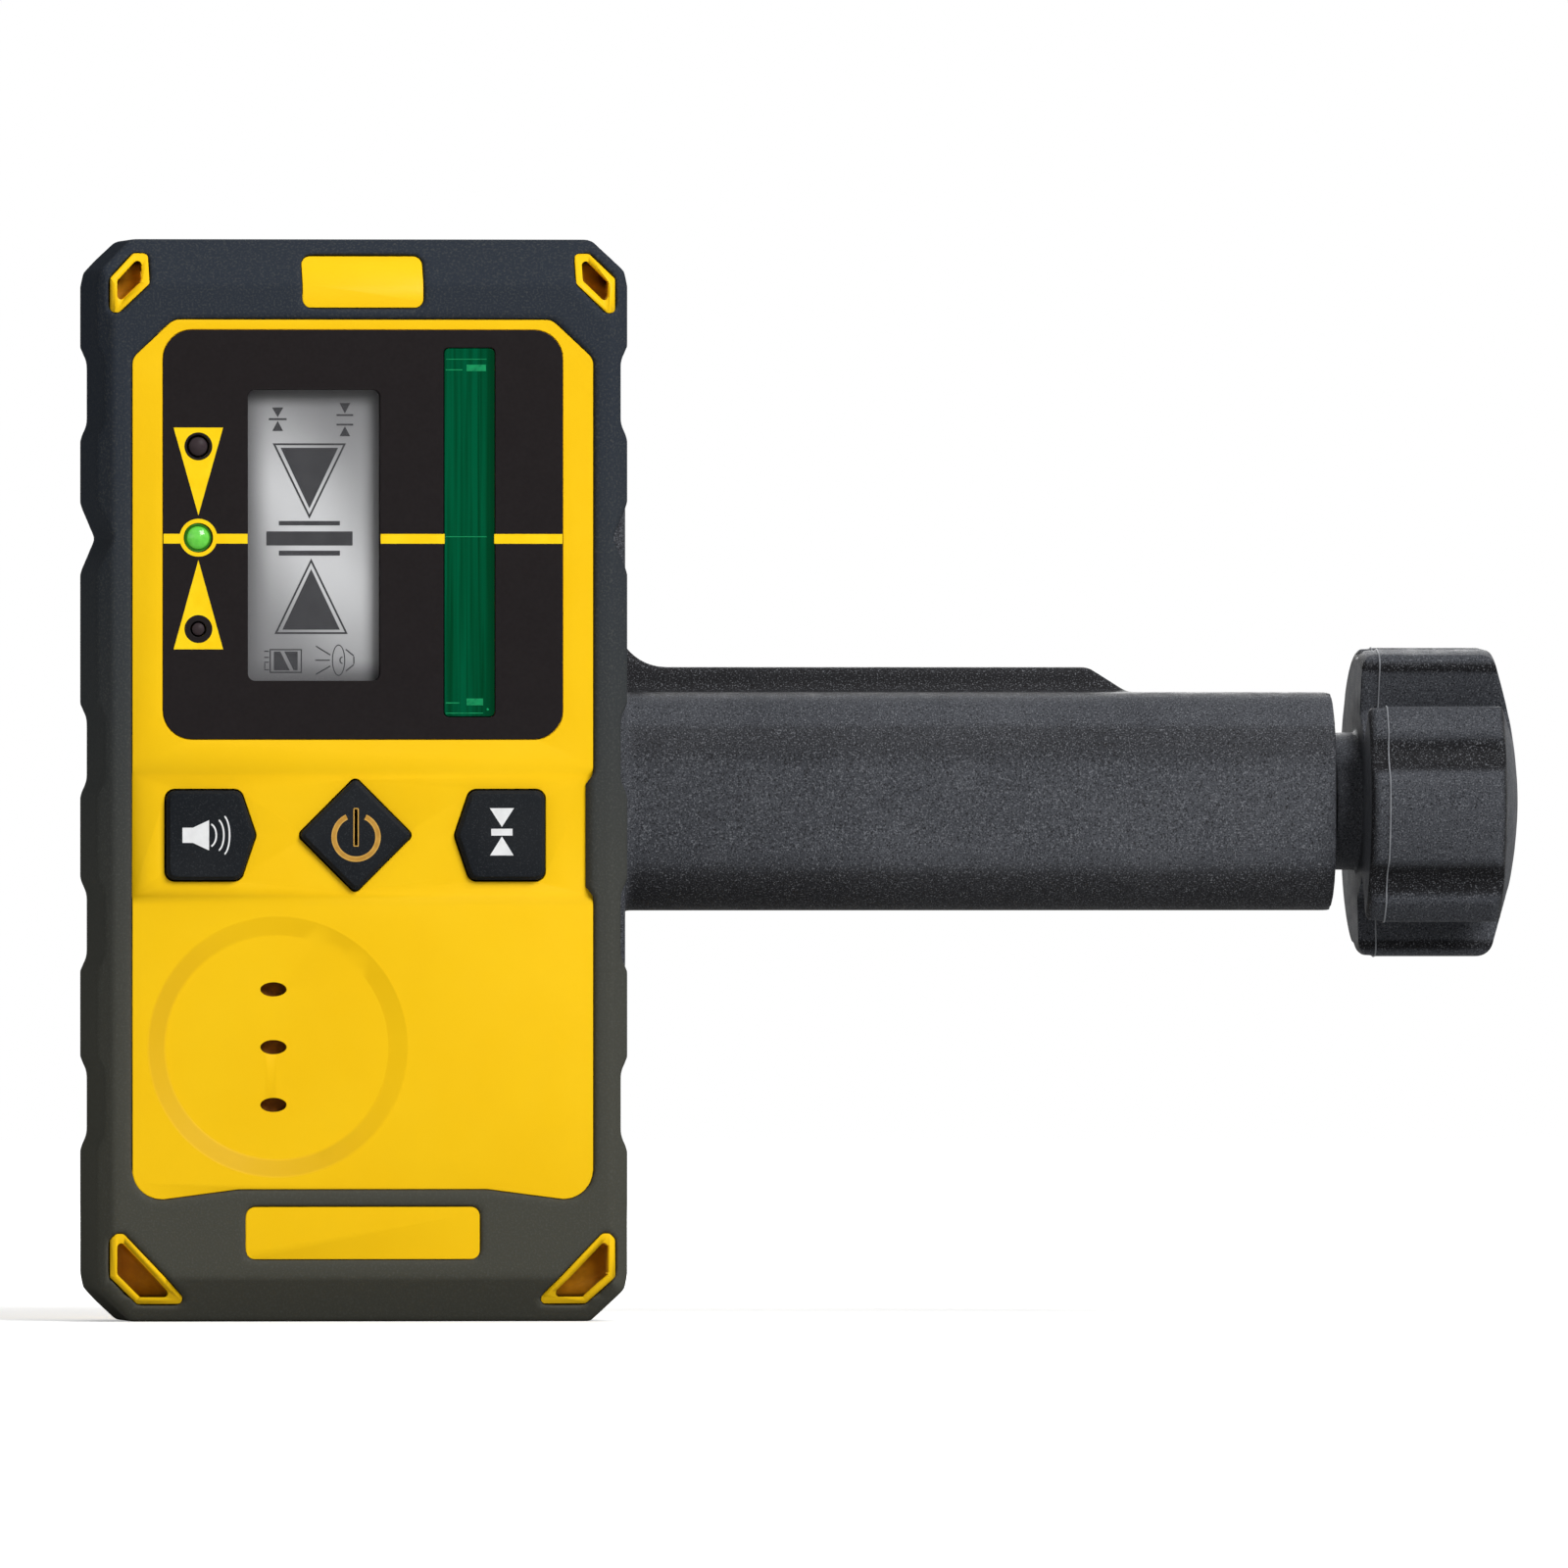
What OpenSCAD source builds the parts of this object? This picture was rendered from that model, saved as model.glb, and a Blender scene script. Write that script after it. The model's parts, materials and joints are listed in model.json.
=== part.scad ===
// Laser receiver on a screw clamp that grips a grade rod.
// X runs to the right along the clamp's arm, Y to the back and Z up.
// The origin lies on the fixed jaw's gripping face, level with the on-grade line.
// Inside the modules X and Y are measured from the middle of the receiver.

/* [Receiver] */
// Width over the rubber grips
body_w = 74; // [72:0.5:80]
// Height over the rubber
body_h = 150; // [148:1:156]
// Thickness over the rubber
body_t = 31; // [30.5:0.5:34]
// Drop from the top edge to the on-grade line
line_drop = 41.4; // [41:0.2:44]
// Wall of the hard shells
wall = 2.2; // [1.8:0.1:2.6]

/* [Rubber bumper] */
// Thickness of the rubber round the shells
rubber_t = 2.6; // [2.5:0.1:3]
// Cut across each corner of the outline
corner_cut = 4.9; // [4:0.1:6]
// Height of the bevel along the top and bottom edges
end_bevel_h = 6.2; // [5:0.2:7]
// Depth of that bevel, front to back
end_bevel_d = 4.5; // [3.5:0.1:5]
// Bevel along the two sides
side_bevel = 2.4; // [1.6:0.1:2.8]
// Depth of the hollows between the grips
grip_depth = 1; // [0.6:0.1:1.4]
// Length of the flat of each hollow
grip_flat = 8.6; // [6:0.2:10]
// Depth of the marking notch at the on-grade line
notch_depth = 2.2; // [1.4:0.1:2.4]
// Height of the marking notch
notch_h = 9.4; // [7:0.2:11]

/* [Front face] */
// Width of the rubber beside the front window
window_rim = 4.9; // [4.6:0.1:6]
// How far the yellow face lies below the rubber
face_sink = 0.5; // [0.3:0.1:0.8]
// Yellow border beside the display label
label_rim = 4.2; // [3:0.1:5]
// Height of the label above the on-grade line
label_up = 28.9; // [28.5:0.1:29.4]
// Height of the label below the on-grade line
label_down = 28; // [27:0.2:28.4]
// Thickness of the label
label_t = 0.5; // [0.4:0.05:0.6]

/* [Display] */
// Height of the viewing window
lcd_h = 40.3; // [38:0.1:41]
// Room on the label for the lights, left of the viewing window
lcd_left = 11.9; // [11.5:0.1:13]
// Room on the label for the light sensor, right of the viewing window
lcd_right = 25.5; // [24:0.1:27]
// Width of the light sensor's window
sensor_w = 7; // [6:0.1:8]
// Height of the light sensor's window
sensor_h = 51; // [48:0.5:51.5]
// From the label's right edge to the middle of the sensor's window
sensor_in = 13.1; // [12:0.1:14]
// From the label's left edge to the middle of the direction lights
light_in = 5; // [4.5:0.1:5.5]
// Step from the centre light to the lights above and below
light_step = 12.65; // [11:0.05:14]

/* [Keys] */
// Drop from the on-grade line to the middle of the keys
key_drop = 41.2; // [40.5:0.1:42]
// Height of the recessed band that the keys sit in
band_h = 19.2; // [18.6:0.2:20]
// Depth of the band
band_d = 0.9; // [0.6:0.1:1.2]
// Height of the slope along the band's top and bottom
band_slope = 1.2; // [0.8:0.1:1.6]
// From the front window's side to the middle of a side key
key_in = 12; // [11:0.1:13]
// How far the three keys stand to the left of the window's middle
key_shift = 1; // [0:0.1:1.2]
// How far a key stands out of the band
key_out = 1.2; // [1:0.1:1.3]
// Travel of a key
key_travel = 0.8; // [0.4:0.1:0.9]
// Height of the two side keys
key_h = 12.4; // [11:0.1:13]
// Half diagonal of the power key
power_half = 7.9; // [6.5:0.1:8]

/* [Sounder] */
// Yellow left above and below the dished disc
dish_rim = 1.65; // [1:0.05:3]
// From the front window's left side to the middle of the disc
dish_in = 20.2; // [19:0.1:22]
// Width of the disc's sloped edge
dish_edge = 2.6; // [1.5:0.1:3.5]
// Depth of the dish
dish_d = 0.6; // [0.3:0.1:0.9]
// Width of a sound hole
hole_w = 3.7; // [3:0.1:4.5]
// Height of a sound hole
hole_h = 2; // [1.6:0.1:2.6]

/* [Batteries] */
// Diameter of a battery cell
cell_d = 14.5; // [14:0.1:14.6]
// Length of a battery cell with its contact button
cell_l = 50.5; // [49:0.5:50.5]
// Distance between the two cells' axes
cell_pitch = 15.6; // [15.2:0.1:16]
// Length of a pressed contact spring
spring_l = 3.2; // [2.6:0.1:3.4]
// Radius of the door's hinge pin
door_pin_r = 0.75; // [0.6:0.05:0.8]
// Radius of the hinge barrel
door_barrel_r = 1.5; // [1.4:0.05:1.6]

/* [Clamp] */
// Height of the arm
arm_h = 30.5; // [28:0.1:33]
// Depth of the arm, front to back
arm_d = 25; // [24:0.5:28]
// Length of the arm from the fixed jaw to its end
arm_l = 99.7; // [96:0.1:110]
// Wall of the arm
arm_wall = 3; // [2.4:0.1:3.4]
// Radius of the arm's front edges
arm_front_r = 9; // [6:0.5:10]
// Drop from the on-grade line to the arm's axis
arm_drop = 36.5; // [35:0.1:38]
// Thickness of the fixed jaw and its wall
jaw_t = 3.5; // [3:0.1:4.5]
// Reach of both jaws behind the arm
jaw_reach = 19.4; // [16:0.2:24]
// Thickness of the grip pads
pad_t = 1.8; // [1.2:0.1:2.4]
// Thickness of the plate behind the receiver
plate_t = 4; // [3:0.5:5]
// Gap between the pads as drawn
rod_gap = 35; // [28:1:45]

/* [Screw and knob] */
// Radius of the lead screw
screw_r = 5; // [4:0.1:5.2]
// Radius of the knob over its lobes
knob_r = 21.7; // [19:0.1:24]
// Length of the knob at its rim
knob_l = 19; // [16:0.2:24]
// Rise of the knob's domed end
knob_dome = 3.4; // [1.5:0.1:4]
// Half angle of a lobe
lobe_half = 47; // [38:1:50]
// Depth of the two flutes in each lobe
flute_d = 1.4; // [0.4:0.1:1.6]
// Length of the neck between arm and lobes
neck_l = 4.1; // [2.5:0.1:6]
// Radius of the knob's neck
neck_r = 9.6; // [8:0.1:11]
// Radius of the receiver's fixing stud
stud_r = 3; // [2.5:0.25:3]
// Radius of the thumbscrew's head
thumb_r = 11; // [9:0.5:12]

/* [Fits] */
// Gap between fixed pieces that fit into each other
fit = 0.1; // [0.05:0.05:0.15]
// Radial clearance of a turning fit
run = 0.05; // [0.03:0.01:0.08]
// Clearance round a piece that slides
slide = 0.3; // [0.2:0.05:0.35]

/* [Hidden] */
$fn = 64;

// Receiver, from the middle of its thickness and from the on-grade line
half_w = body_w / 2;
top_z = line_drop;
bottom_z = line_drop - body_h;
front_y = -body_t / 2;
back_y = body_t / 2;
corner_ease = 0.45;
back_bevel = 3;
shell_inset = rubber_t + fit;
room_inset = shell_inset + wall;
face_y = front_y + face_sink;
rear_face_y = back_y - face_sink;
window_hw = half_w - window_rim;
room_front = front_y + room_inset;
room_back = back_y - room_inset;
grip_zs = [20.2, -29.3, -53.7, -78.4];
grip_ramp = 2;

// Front and rear windows in the rubber
window_top = top_z - 11.1;
window_low = bottom_z + 18.3;
window_drop = 1.4;
window_flat = 17.3;
window_round = 4.2;
rear_top = top_z - 9;
rear_low = bottom_z + 5.2;

// Yellow pads and corner pockets that show through the rubber
tag_sink = 0.3;
top_tag = [16.7, 7.1, 5.95];
low_tag = [32.4, 7.2, 12.3];
pocket_rim = 0.9;
pocket_d = 5;
pocket_post = 1.5;
pocket_ease = 0.6;
top_pocket = [[29.7, -6.2], [29.7, -2], [31.7, -2], [35.1, -5.5], [35.1, -10.2], [33.9, -10.2]];
low_pocket = [[34.3, 12.2], [35.1, 11.4], [35.1, 6.2], [31.2, 2.5], [25, 2.5], [25, 3.5], [33.3, 12.2]];
drawn_half_w = 37;

// Board and what it carries
board_t = 1.6;
board_gap = 3;
board_front = room_front + board_gap;
board_back = board_front + board_t;
board_hw = half_w - room_inset - 1.3;
board_top = top_z - room_inset - 1.4;
board_low = bottom_z + room_inset + 1.5;
ceiling = face_y + wall;
boss_r = 3;
case_screw_r = 1.5;
case_head_r = 2.8;
case_head_t = 2.1;
case_sink = 2.9;
case_tip_y = -7.5;
cross_w = 0.8;
cross_l = 3.2;
cross_d = 1.1;
case_xs = half_w - 10;
post_r = 2.6;
post_x = 20;
post_zs = [board_top - 3.2, board_low + 3.2];
board_screw_r = 1;
board_chips = [[-6, 4, 4, 14, 1.6], [8, 15, -18, -10, 1.6], [-20, -14, -22, -16, 2.4]];
board_cans = [[18, 22, 3.2, 5.5], [-15, 24, 2.5, 5]];

// Display stack
label_w = 2 * (window_hw - label_rim);
lcd_w = label_w - lcd_left - lcd_right;
lcd_x = (lcd_left - lcd_right) / 2;
sensor_x = label_w / 2 - sensor_in;
light_x = light_in - label_w / 2;
lens_t = 1.2;
lens_lip = 1;
lens_front = face_y + label_t;
lens_back = lens_front + lens_t;
lcd_frame = 2.8;
lcd_t = 2.5;
sensor_flange = 1;
pipe_r = 1.5;
grade_pipe_r = 1.86;
low_pipe_r = 1;
pipe_dome = 50;

// Keys
band_floor = face_y + band_d;
band_top = -key_drop + band_h / 2;
band_low = -key_drop - band_h / 2;
key_x = window_hw - key_in;
key_xs = [for (i = [-1:1]) i * key_x - key_shift];
key_w = 12.4;
key_tip = 2.1;
key_gap = 0.25;
key_rim = 1;
key_flange_t = 0.8;
guard_w = 1.5;

// Sounder
dish_r = (band_low - window_low) / 2 - dish_rim;
dish_x = dish_in - window_hw;
dish_z = (band_low + window_low) / 2;
hole_x = dish_x - 0.5;
hole_pitch = 0.442 * dish_r;
membrane_lap = 1.55;
membrane_r = hole_pitch + hole_h / 2 + membrane_lap;
membrane_t = 0.3;
buzzer_r = membrane_r - 0.55;

// Battery bay
cell_r = cell_d / 2;
bay_wall = 1.25;
bay_y = room_back - fit;
cell_y = back_y - 3 - cell_r;
cell_rise = 28.2;
cell_z = bottom_z + cell_rise;
cell_zs = [cell_z + cell_pitch / 2, cell_z - cell_pitch / 2];
button_l = 1.2;
button_r = 2.7;
contact_t = 0.4;
bay_hw = (cell_l + spring_l + contact_t + 0.2) / 2;
bay_half_h = cell_pitch / 2 + cell_r + 0.2;
bay_top = cell_z + bay_half_h + bay_wall;
spring_r = 5;
spring_tip_r = 2.6;
door_t = 2.2;
door_in = rear_face_y - door_t;
ledge_y = door_in - 0.6;
mouth_hw = bay_hw - 0.25;
mouth_top = cell_z + bay_half_h;
mouth_low = cell_z - bay_half_h;
ledge_w = 1.5;
door_hw = mouth_hw + ledge_w - slide;
door_top = mouth_top + ledge_w + 0.8;
door_axis_y = rear_face_y - door_barrel_r - fit;
door_axis_z = mouth_low - 4.1;
door_swing_gap = 0.6;
pin_bite = 2;
scoop_r = 5;
scoop_d = 1.2;
door_rib_pitch = 5;
door_rib_w = 1.2;
door_rib_d = 0.5;
door_rib_zs = [8, 15];

// Case screws: near the top, and between the bay and the keys
case_drop = 14.9;
case_clear = 5.9;
case_share = 0.42;
case_zs = [top_z - case_drop, bay_top + max(case_clear, case_share * (band_low - bay_top))];

// Clamp seat and plate
seat_rise = 2 - face_sink;
plate_y = back_y + seat_rise;
seat_w = 48;
seat_h = 41;
plate_hw = 24;
plate_h = 45.6;
peg_x = 17;
peg_r = 2.5;
peg_l = 2;
stud_z = -arm_drop;
insert_r = 4.2;
insert_l = 9;

// Clamp, with its wall just outside the receiver's right edge
jaw_wall_x = half_w + 2.7;
wall_x = jaw_wall_x - jaw_t;
grip_x = jaw_wall_x + pad_t;
arm_y0 = plate_y + 0.6;
arm_y1 = arm_y0 + arm_d;
axis_y = (arm_y0 + arm_y1) / 2;
axis_z = -arm_drop;
arm_end = jaw_wall_x + arm_l;
arm_rear_r = 4;
jaw_y1 = arm_y1 + jaw_reach;
grip_y = arm_y1 + jaw_reach / 2;
jaw_top = 8;
jaw_low = -62;
jaw_taper = 6;
slot_h = 12;
slot_x0 = jaw_wall_x + 8;
slot_x1 = arm_end - 12;
rib_rise = 3.5;
rib_y = axis_y + 1;
rib_l = arm_l * 0.665;
rib_slope = 5.6;
rib_fillet = 7;
root_boss_l = 4.3;

// Lead screw, from the fixed jaw to the knob
bushing_r = 5;
pilot_r = 3;
journal_r = 4;
collar_r = 7.2;
washer_t = 0.8;
gap_x = 0.1;
end_plate_t = 2.5;
end_plate_x = arm_end - end_plate_t - 0.5;
collar_l = 2.6;
collar_x1 = end_plate_x - washer_t - 2 * gap_x;
block_l = 9.8;
knob_x = arm_end + neck_l;
neck_x = end_plate_x + end_plate_t + washer_t + 2 * gap_x;
knob_rim = 1.8;
knob_edge = 2;
knob_edge_turn = 80;
knob_core = 13.5;
lobe_round = 1.6;
lobe_turn = -7;
flute_r = 5;
flute_turn = 25;
part_line = 2.3;
part_step = 0.15;
screw_end = knob_x + knob_l - 7;
cap_r = 6.5;
cap_t = 1.6;

// Moving jaw
jaw_x = grip_x + rod_gap + pad_t;
carriage_l = 18;
jaw_plate_t = 6;
jaw_plate_h = arm_h - 1;
nut_r = 8;
nut_l = 14;

// Thumbscrew
thumb_washer_r = 7.5;
thumb_washer_t = 1.1;
thumb_y = plate_y + plate_t + thumb_washer_t + 0.1;
thumb_l = 9;

function mirrored(points) = [for (p = points) [-p[0], p[1]]];
function reversed(points) = [for (i = [len(points) - 1:-1:0]) points[i]];
function corner(side, z, up) = [
    [side * (half_w - corner_cut), z],
    [side * (half_w - corner_ease), z - up * (corner_cut - corner_ease)],
    [side * half_w, z - up * (corner_cut + 3 * corner_ease)]
];
function arc(r, cx, cy, a0, a1, n = 8) =
    [for (i = [0:n]) let (a = a0 + (a1 - a0) * i / n) [cx + r * cos(a), cy + r * sin(a)]];

outline = concat(corner(1, top_z, 1), reversed(corner(1, bottom_z, -1)), corner(-1, bottom_z, -1),
    reversed(corner(-1, top_z, 1)));
side_outline = [
    [front_y, top_z - end_bevel_h], [front_y + end_bevel_d, top_z], [back_y - back_bevel, top_z],
    [back_y, top_z - back_bevel], [back_y, bottom_z + back_bevel], [back_y - back_bevel, bottom_z],
    [front_y + end_bevel_d, bottom_z], [front_y, bottom_z + end_bevel_h]
];
plan_outline = [
    [half_w - side_bevel, front_y], [half_w, front_y + side_bevel], [half_w, back_y - side_bevel],
    [half_w - side_bevel, back_y], [side_bevel - half_w, back_y], [-half_w, back_y - side_bevel],
    [-half_w, front_y + side_bevel], [side_bevel - half_w, front_y]
];
window_right = [
    [window_hw - 5.8, window_top], [window_hw, window_top - 5.4],
    for (a = [0:15:90]) [
        window_hw - window_round * (1 - cos(a)),
        window_low - window_drop + window_round * (1 - sin(a))
    ],
    [window_flat, window_low]
];
key_house = [
    [-key_w / 2, -key_h / 2], [key_w / 2 - key_tip, -key_h / 2], [key_w / 2, 0],
    [key_w / 2 - key_tip, key_h / 2], [-key_w / 2, key_h / 2]
];
power_diamond = [[-power_half, 0], [0, -power_half], [power_half, 0], [0, power_half]];

module in_frame() translate([-grip_x, -grip_y, 0]) children();

// A shape drawn in X and Z, from one depth to another
module along_y(y0, y1) translate([0, y1, 0]) rotate([90, 0, 0]) linear_extrude(y1 - y0) children();

// A shape drawn in Y and Z, from one X to another
module along_x(x0, x1) translate([x0, 0, 0]) rotate([90, 0, 90]) linear_extrude(x1 - x0) children();

module rod_x(r, x0, x1) translate([x0, 0, 0]) rotate([0, 90, 0]) cylinder(r = r, h = x1 - x0);
module rod_y(r, y0, y1) translate([0, y1, 0]) rotate([90, 0, 0]) cylinder(r = r, h = y1 - y0);
module at_axis() translate([0, axis_y, axis_z]) children();
module both_sides() {
    children();
    mirror([1, 0, 0]) children();
}
module rounded(r) offset(r = r, $fn = 32) offset(delta = -r) children();
module eased(r) offset(r = r, $fn = 16) offset(delta = -r) children();
module block(x0, x1, y0, y1, z0, z1) translate([x0, y0, z0]) cube([x1 - x0, y1 - y0, z1 - z0]);

// The receiver's bevelled form, drawn in by a distance
module form(inset) intersection() {
    along_y(front_y, back_y) offset(delta = -inset) polygon(outline);
    along_x(-half_w, half_w) offset(delta = -inset) polygon(side_outline);
    translate([0, 0, bottom_z]) linear_extrude(body_h) offset(delta = -inset) polygon(plan_outline);
}
module front_window(gap) offset(delta = -gap) rounded(2)
    polygon(concat(window_right, reversed(mirrored(window_right))));
module rear_window(gap) offset(delta = -gap) rounded(2) polygon([
    [-window_hw + 5, rear_top], [window_hw - 5, rear_top], [window_hw, rear_top - 5],
    [window_hw, rear_low + 4], [window_hw - 4, rear_low], [4 - window_hw, rear_low],
    [-window_hw, rear_low + 4], [-window_hw, rear_top - 5]
]);
module tag(size, z, grow) translate([-size[0] / 2 - grow, z - size[1] / 2 - grow])
    rounded(1.2) square([size[0] + 2 * grow, size[1] + 2 * grow]);
module tags(grow) {
    tag(top_tag, top_z - top_tag[2], grow);
    tag(low_tag, bottom_z + low_tag[2], grow);
}
module corner_pockets(grow) both_sides() translate([half_w - drawn_half_w, 0]) {
    translate([0, top_z]) eased(pocket_ease) offset(delta = grow) polygon(top_pocket);
    translate([0, bottom_z]) eased(pocket_ease) offset(delta = grow) polygon(low_pocket);
}
module label_outline(gap) translate([-label_w / 2 + gap, -label_down + gap])
    rounded(4.1) square([label_w - 2 * gap, label_up + label_down - 2 * gap]);
module lcd_outline(grow) translate([lcd_x - lcd_w / 2 - grow, 0.35 - lcd_h / 2 - grow])
    rounded(1) square([lcd_w + 2 * grow, lcd_h + 2 * grow]);
module sensor_outline(grow) translate([sensor_x - sensor_w / 2 - grow, 0.75 - sensor_h / 2 - grow])
    rounded(0.7) square([sensor_w + 2 * grow, sensor_h + 2 * grow]);
module light_holes(grow) {
    translate([light_x, light_step]) circle(pipe_r + grow);
    translate([light_x, 0]) circle(grade_pipe_r + grow);
    translate([light_x, -light_step]) circle(low_pipe_r + grow);
}
module key_shape(which, grow) translate([key_xs[which], -key_drop]) offset(delta = grow)
    if (which == 0) rounded(1.2) polygon(key_house);
    else if (which == 1) rounded(0.7) polygon(power_diamond);
    else mirror([1, 0]) rounded(1.2) polygon(key_house);
module sound_holes() for (i = [-1:1]) translate([hole_x, dish_z + i * hole_pitch])
    polygon([for (a = [0:15:345]) [hole_w / 2 * cos(a), hole_h / 2 * sin(a)]]);
module case_spots() for (x = [-case_xs, case_xs], z = case_zs) translate([x, 0, z]) children();
module post_spots() for (x = [-post_x, post_x], z = post_zs) translate([x, 0, z]) children();
module grips() both_sides() for (z = grip_zs) polygon([
    [half_w + 1, z + grip_flat / 2 + grip_ramp], [half_w, z + grip_flat / 2 + grip_ramp],
    [half_w - grip_depth, z + grip_flat / 2], [half_w - grip_depth, z - grip_flat / 2],
    [half_w, z - grip_flat / 2 - grip_ramp], [half_w + 1, z - grip_flat / 2 - grip_ramp]
]);
module notches() both_sides() polygon([[half_w + 1, notch_h / 2 + 1], [half_w, notch_h / 2],
    [half_w - notch_depth, 0], [half_w, -notch_h / 2], [half_w + 1, -notch_h / 2 - 1]]);
module band_profile() polygon([
    [face_y - 1, band_top], [face_y, band_top], [band_floor, band_top - band_slope],
    [band_floor, band_low + band_slope], [face_y, band_low], [face_y - 1, band_low]
]);
module dish() translate([dish_x, face_y, dish_z]) rotate([-90, 0, 0]) rotate_extrude() polygon([
    [0, -1], [dish_r, -1], [dish_r, 0], [dish_r - dish_edge, dish_d], [0, dish_d]
]);
module seal_ring(gap) difference() {
    offset(delta = -shell_inset - 0.6 + gap) polygon(outline);
    offset(delta = -shell_inset - wall + 0.5 - gap) polygon(outline);
}

module front_housing() color("gold") in_frame() difference() {
    union() {
        intersection() {
            form(shell_inset);
            block(-half_w, half_w, front_y, 0, bottom_z, top_z);
        }
        along_y(face_y, room_front) front_window(fit);
        intersection() {
            form(tag_sink);
            along_y(front_y, room_front) tags(0);
        }
        intersection() {
            form(tag_sink);
            along_y(front_y, front_y + pocket_d) corner_pockets(0);
        }
    }
    difference() {
        intersection() {
            form(room_inset);
            block(-half_w, half_w, front_y, 1, bottom_z, top_z);
        }
        along_y(front_y, 0) corner_pockets(pocket_post);
        case_spots() rod_y(boss_r, front_y, 0);
        post_spots() rod_y(post_r, front_y, board_front);
    }
    difference() {
        union() {
            block(-window_hw + 5, window_hw - 5, ceiling, room_front + 1,
                -label_down + 1.5, label_up - 1.2);
            block(-window_hw + 5, window_hw - 5, ceiling + dish_d, room_front + 1, window_low + 3,
                band_low - 1.5);
        }
        case_spots() rod_y(boss_r, front_y, 0);
    }
    case_spots() rod_y(case_screw_r + run, case_tip_y - 0.5, 1);
    post_spots() rod_y(board_screw_r + run, room_front - 1, board_front + 1);
    along_y(-0.6, 1) seal_ring(fit);
    along_y(front_y - 1, front_y + pocket_d) corner_pockets(-pocket_rim);
    along_x(-half_w, half_w) band_profile();
    along_y(face_y - 1, face_y + label_t) label_outline(0);
    along_y(lens_front - 0.1, lens_back + fit) lcd_outline(lens_lip + fit);
    along_y(front_y, 0) lcd_outline(0);
    along_y(front_y, 0) sensor_outline(fit);
    along_y(front_y, 0) light_holes(fit);
    for (i = [0:2]) along_y(front_y, 0) key_shape(i, key_gap);
    dish();
    along_y(front_y, 0) sound_holes();
}

module rear_housing() color("gold") in_frame() difference() {
    union() {
        intersection() {
            form(shell_inset);
            block(-half_w, half_w, 0, back_y, bottom_z, top_z);
        }
        along_y(room_back, rear_face_y) rear_window(fit);
        along_y(room_back, plate_y) seat(0);
    }
    difference() {
        intersection() {
            form(room_inset);
            block(-half_w, half_w, -1, back_y, bottom_z, top_z);
        }
        case_spots() rod_y(boss_r, 0, back_y);
        translate([0, 0, stud_z]) rod_y(insert_r + 2.4, plate_y - insert_l - 2, back_y);
    }
    difference() {
        block(-window_hw + 5, window_hw - 5, room_back - 1, rear_face_y - wall,
            mouth_top + 6, rear_top - 4.5);
        case_spots() rod_y(boss_r + 1, 0, back_y);
        translate([0, 0, stud_z]) rod_y(insert_r + 2.4, 0, back_y);
    }
    case_spots() {
        rod_y(case_screw_r + run, -1, back_y);
        rod_y(case_head_r + fit, rear_face_y - case_sink - fit, back_y);
    }
    along_y(-1, 0.6) seal_ring(fit);
    translate([0, 0, stud_z]) rod_y(insert_r, plate_y - insert_l, plate_y + 1);
    for (x = [-peg_x, peg_x]) translate([x, 0, stud_z])
        rod_y(peg_r + fit, plate_y - peg_l - fit, plate_y + 1);
    block(-mouth_hw, mouth_hw, 0, back_y, mouth_low, mouth_top);
    block(-door_hw - slide, door_hw + slide, ledge_y, back_y, door_axis_z, door_top + slide);
    block(-door_hw - slide, door_hw + slide, door_axis_y, back_y,
        door_axis_z - door_barrel_r - door_swing_gap, door_top);
    translate([0, door_axis_y, door_axis_z]) {
        rod_x(door_barrel_r + door_swing_gap, -door_hw - slide, door_hw + slide);
        rod_x(door_pin_r + run, -door_hw - slide - pin_bite, door_hw + slide + pin_bite);
    }
    translate([0, 0, door_top]) rod_y(scoop_r, rear_face_y - scoop_d, back_y);
}
module seat(grow) translate([-seat_w / 2 - grow, stud_z - seat_h / 2 - grow])
    rounded(3) square([seat_w + 2 * grow, seat_h + 2 * grow]);

module bumper() color("#3b3d3c") in_frame() {
    difference() {
        form(0);
        form(rubber_t);
        along_y(front_y - 1, 0) front_window(0);
        along_y(0, back_y + 1) rear_window(0);
        along_y(front_y - 1, 0) tags(fit);
        along_y(front_y - 1, front_y + pocket_d + fit) corner_pockets(fit);
        along_y(front_y - 1, back_y + 1) grips();
        along_y(front_y - 1, back_y + 1) notches();
    }
    key_guard();
}
// The rubber's inward shoulder beside the right-hand key
module key_guard() intersection() {
    along_y(front_y, back_y) polygon([
        [window_hw + 0.3, band_top - band_slope], [window_hw, band_top - band_slope],
        [window_hw - guard_w, band_top - band_slope - guard_w],
        [window_hw - guard_w, band_low + band_slope + guard_w],
        [window_hw, band_low + band_slope], [window_hw + 0.3, band_low + band_slope]
    ]);
    translate([0, 0, bottom_z]) linear_extrude(body_h) polygon([
        [window_hw + 0.3, front_y], [window_hw, front_y], [window_hw - guard_w, band_floor - fit],
        [window_hw + 0.3, band_floor - fit]
    ]);
}

module housing_seal() color("black") in_frame() along_y(-0.5, 0.5) seal_ring(0);

module case_screws() color("silver") in_frame() case_spots() difference() {
    union() {
        rod_y(case_screw_r, case_tip_y, rear_face_y - case_sink);
        rod_y(case_head_r, rear_face_y - case_sink, rear_face_y - case_sink + case_head_t);
    }
    along_y(rear_face_y - case_sink + case_head_t - cross_d, back_y)
        for (a = [0, 90]) rotate(a) square([cross_l, cross_w], center = true);
}

module display_label() color("#1f1c1d") in_frame() along_y(face_y, face_y + label_t) difference() {
    label_outline(fit);
    lcd_outline(0);
    sensor_outline(fit);
    light_holes(fit);
}

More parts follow.
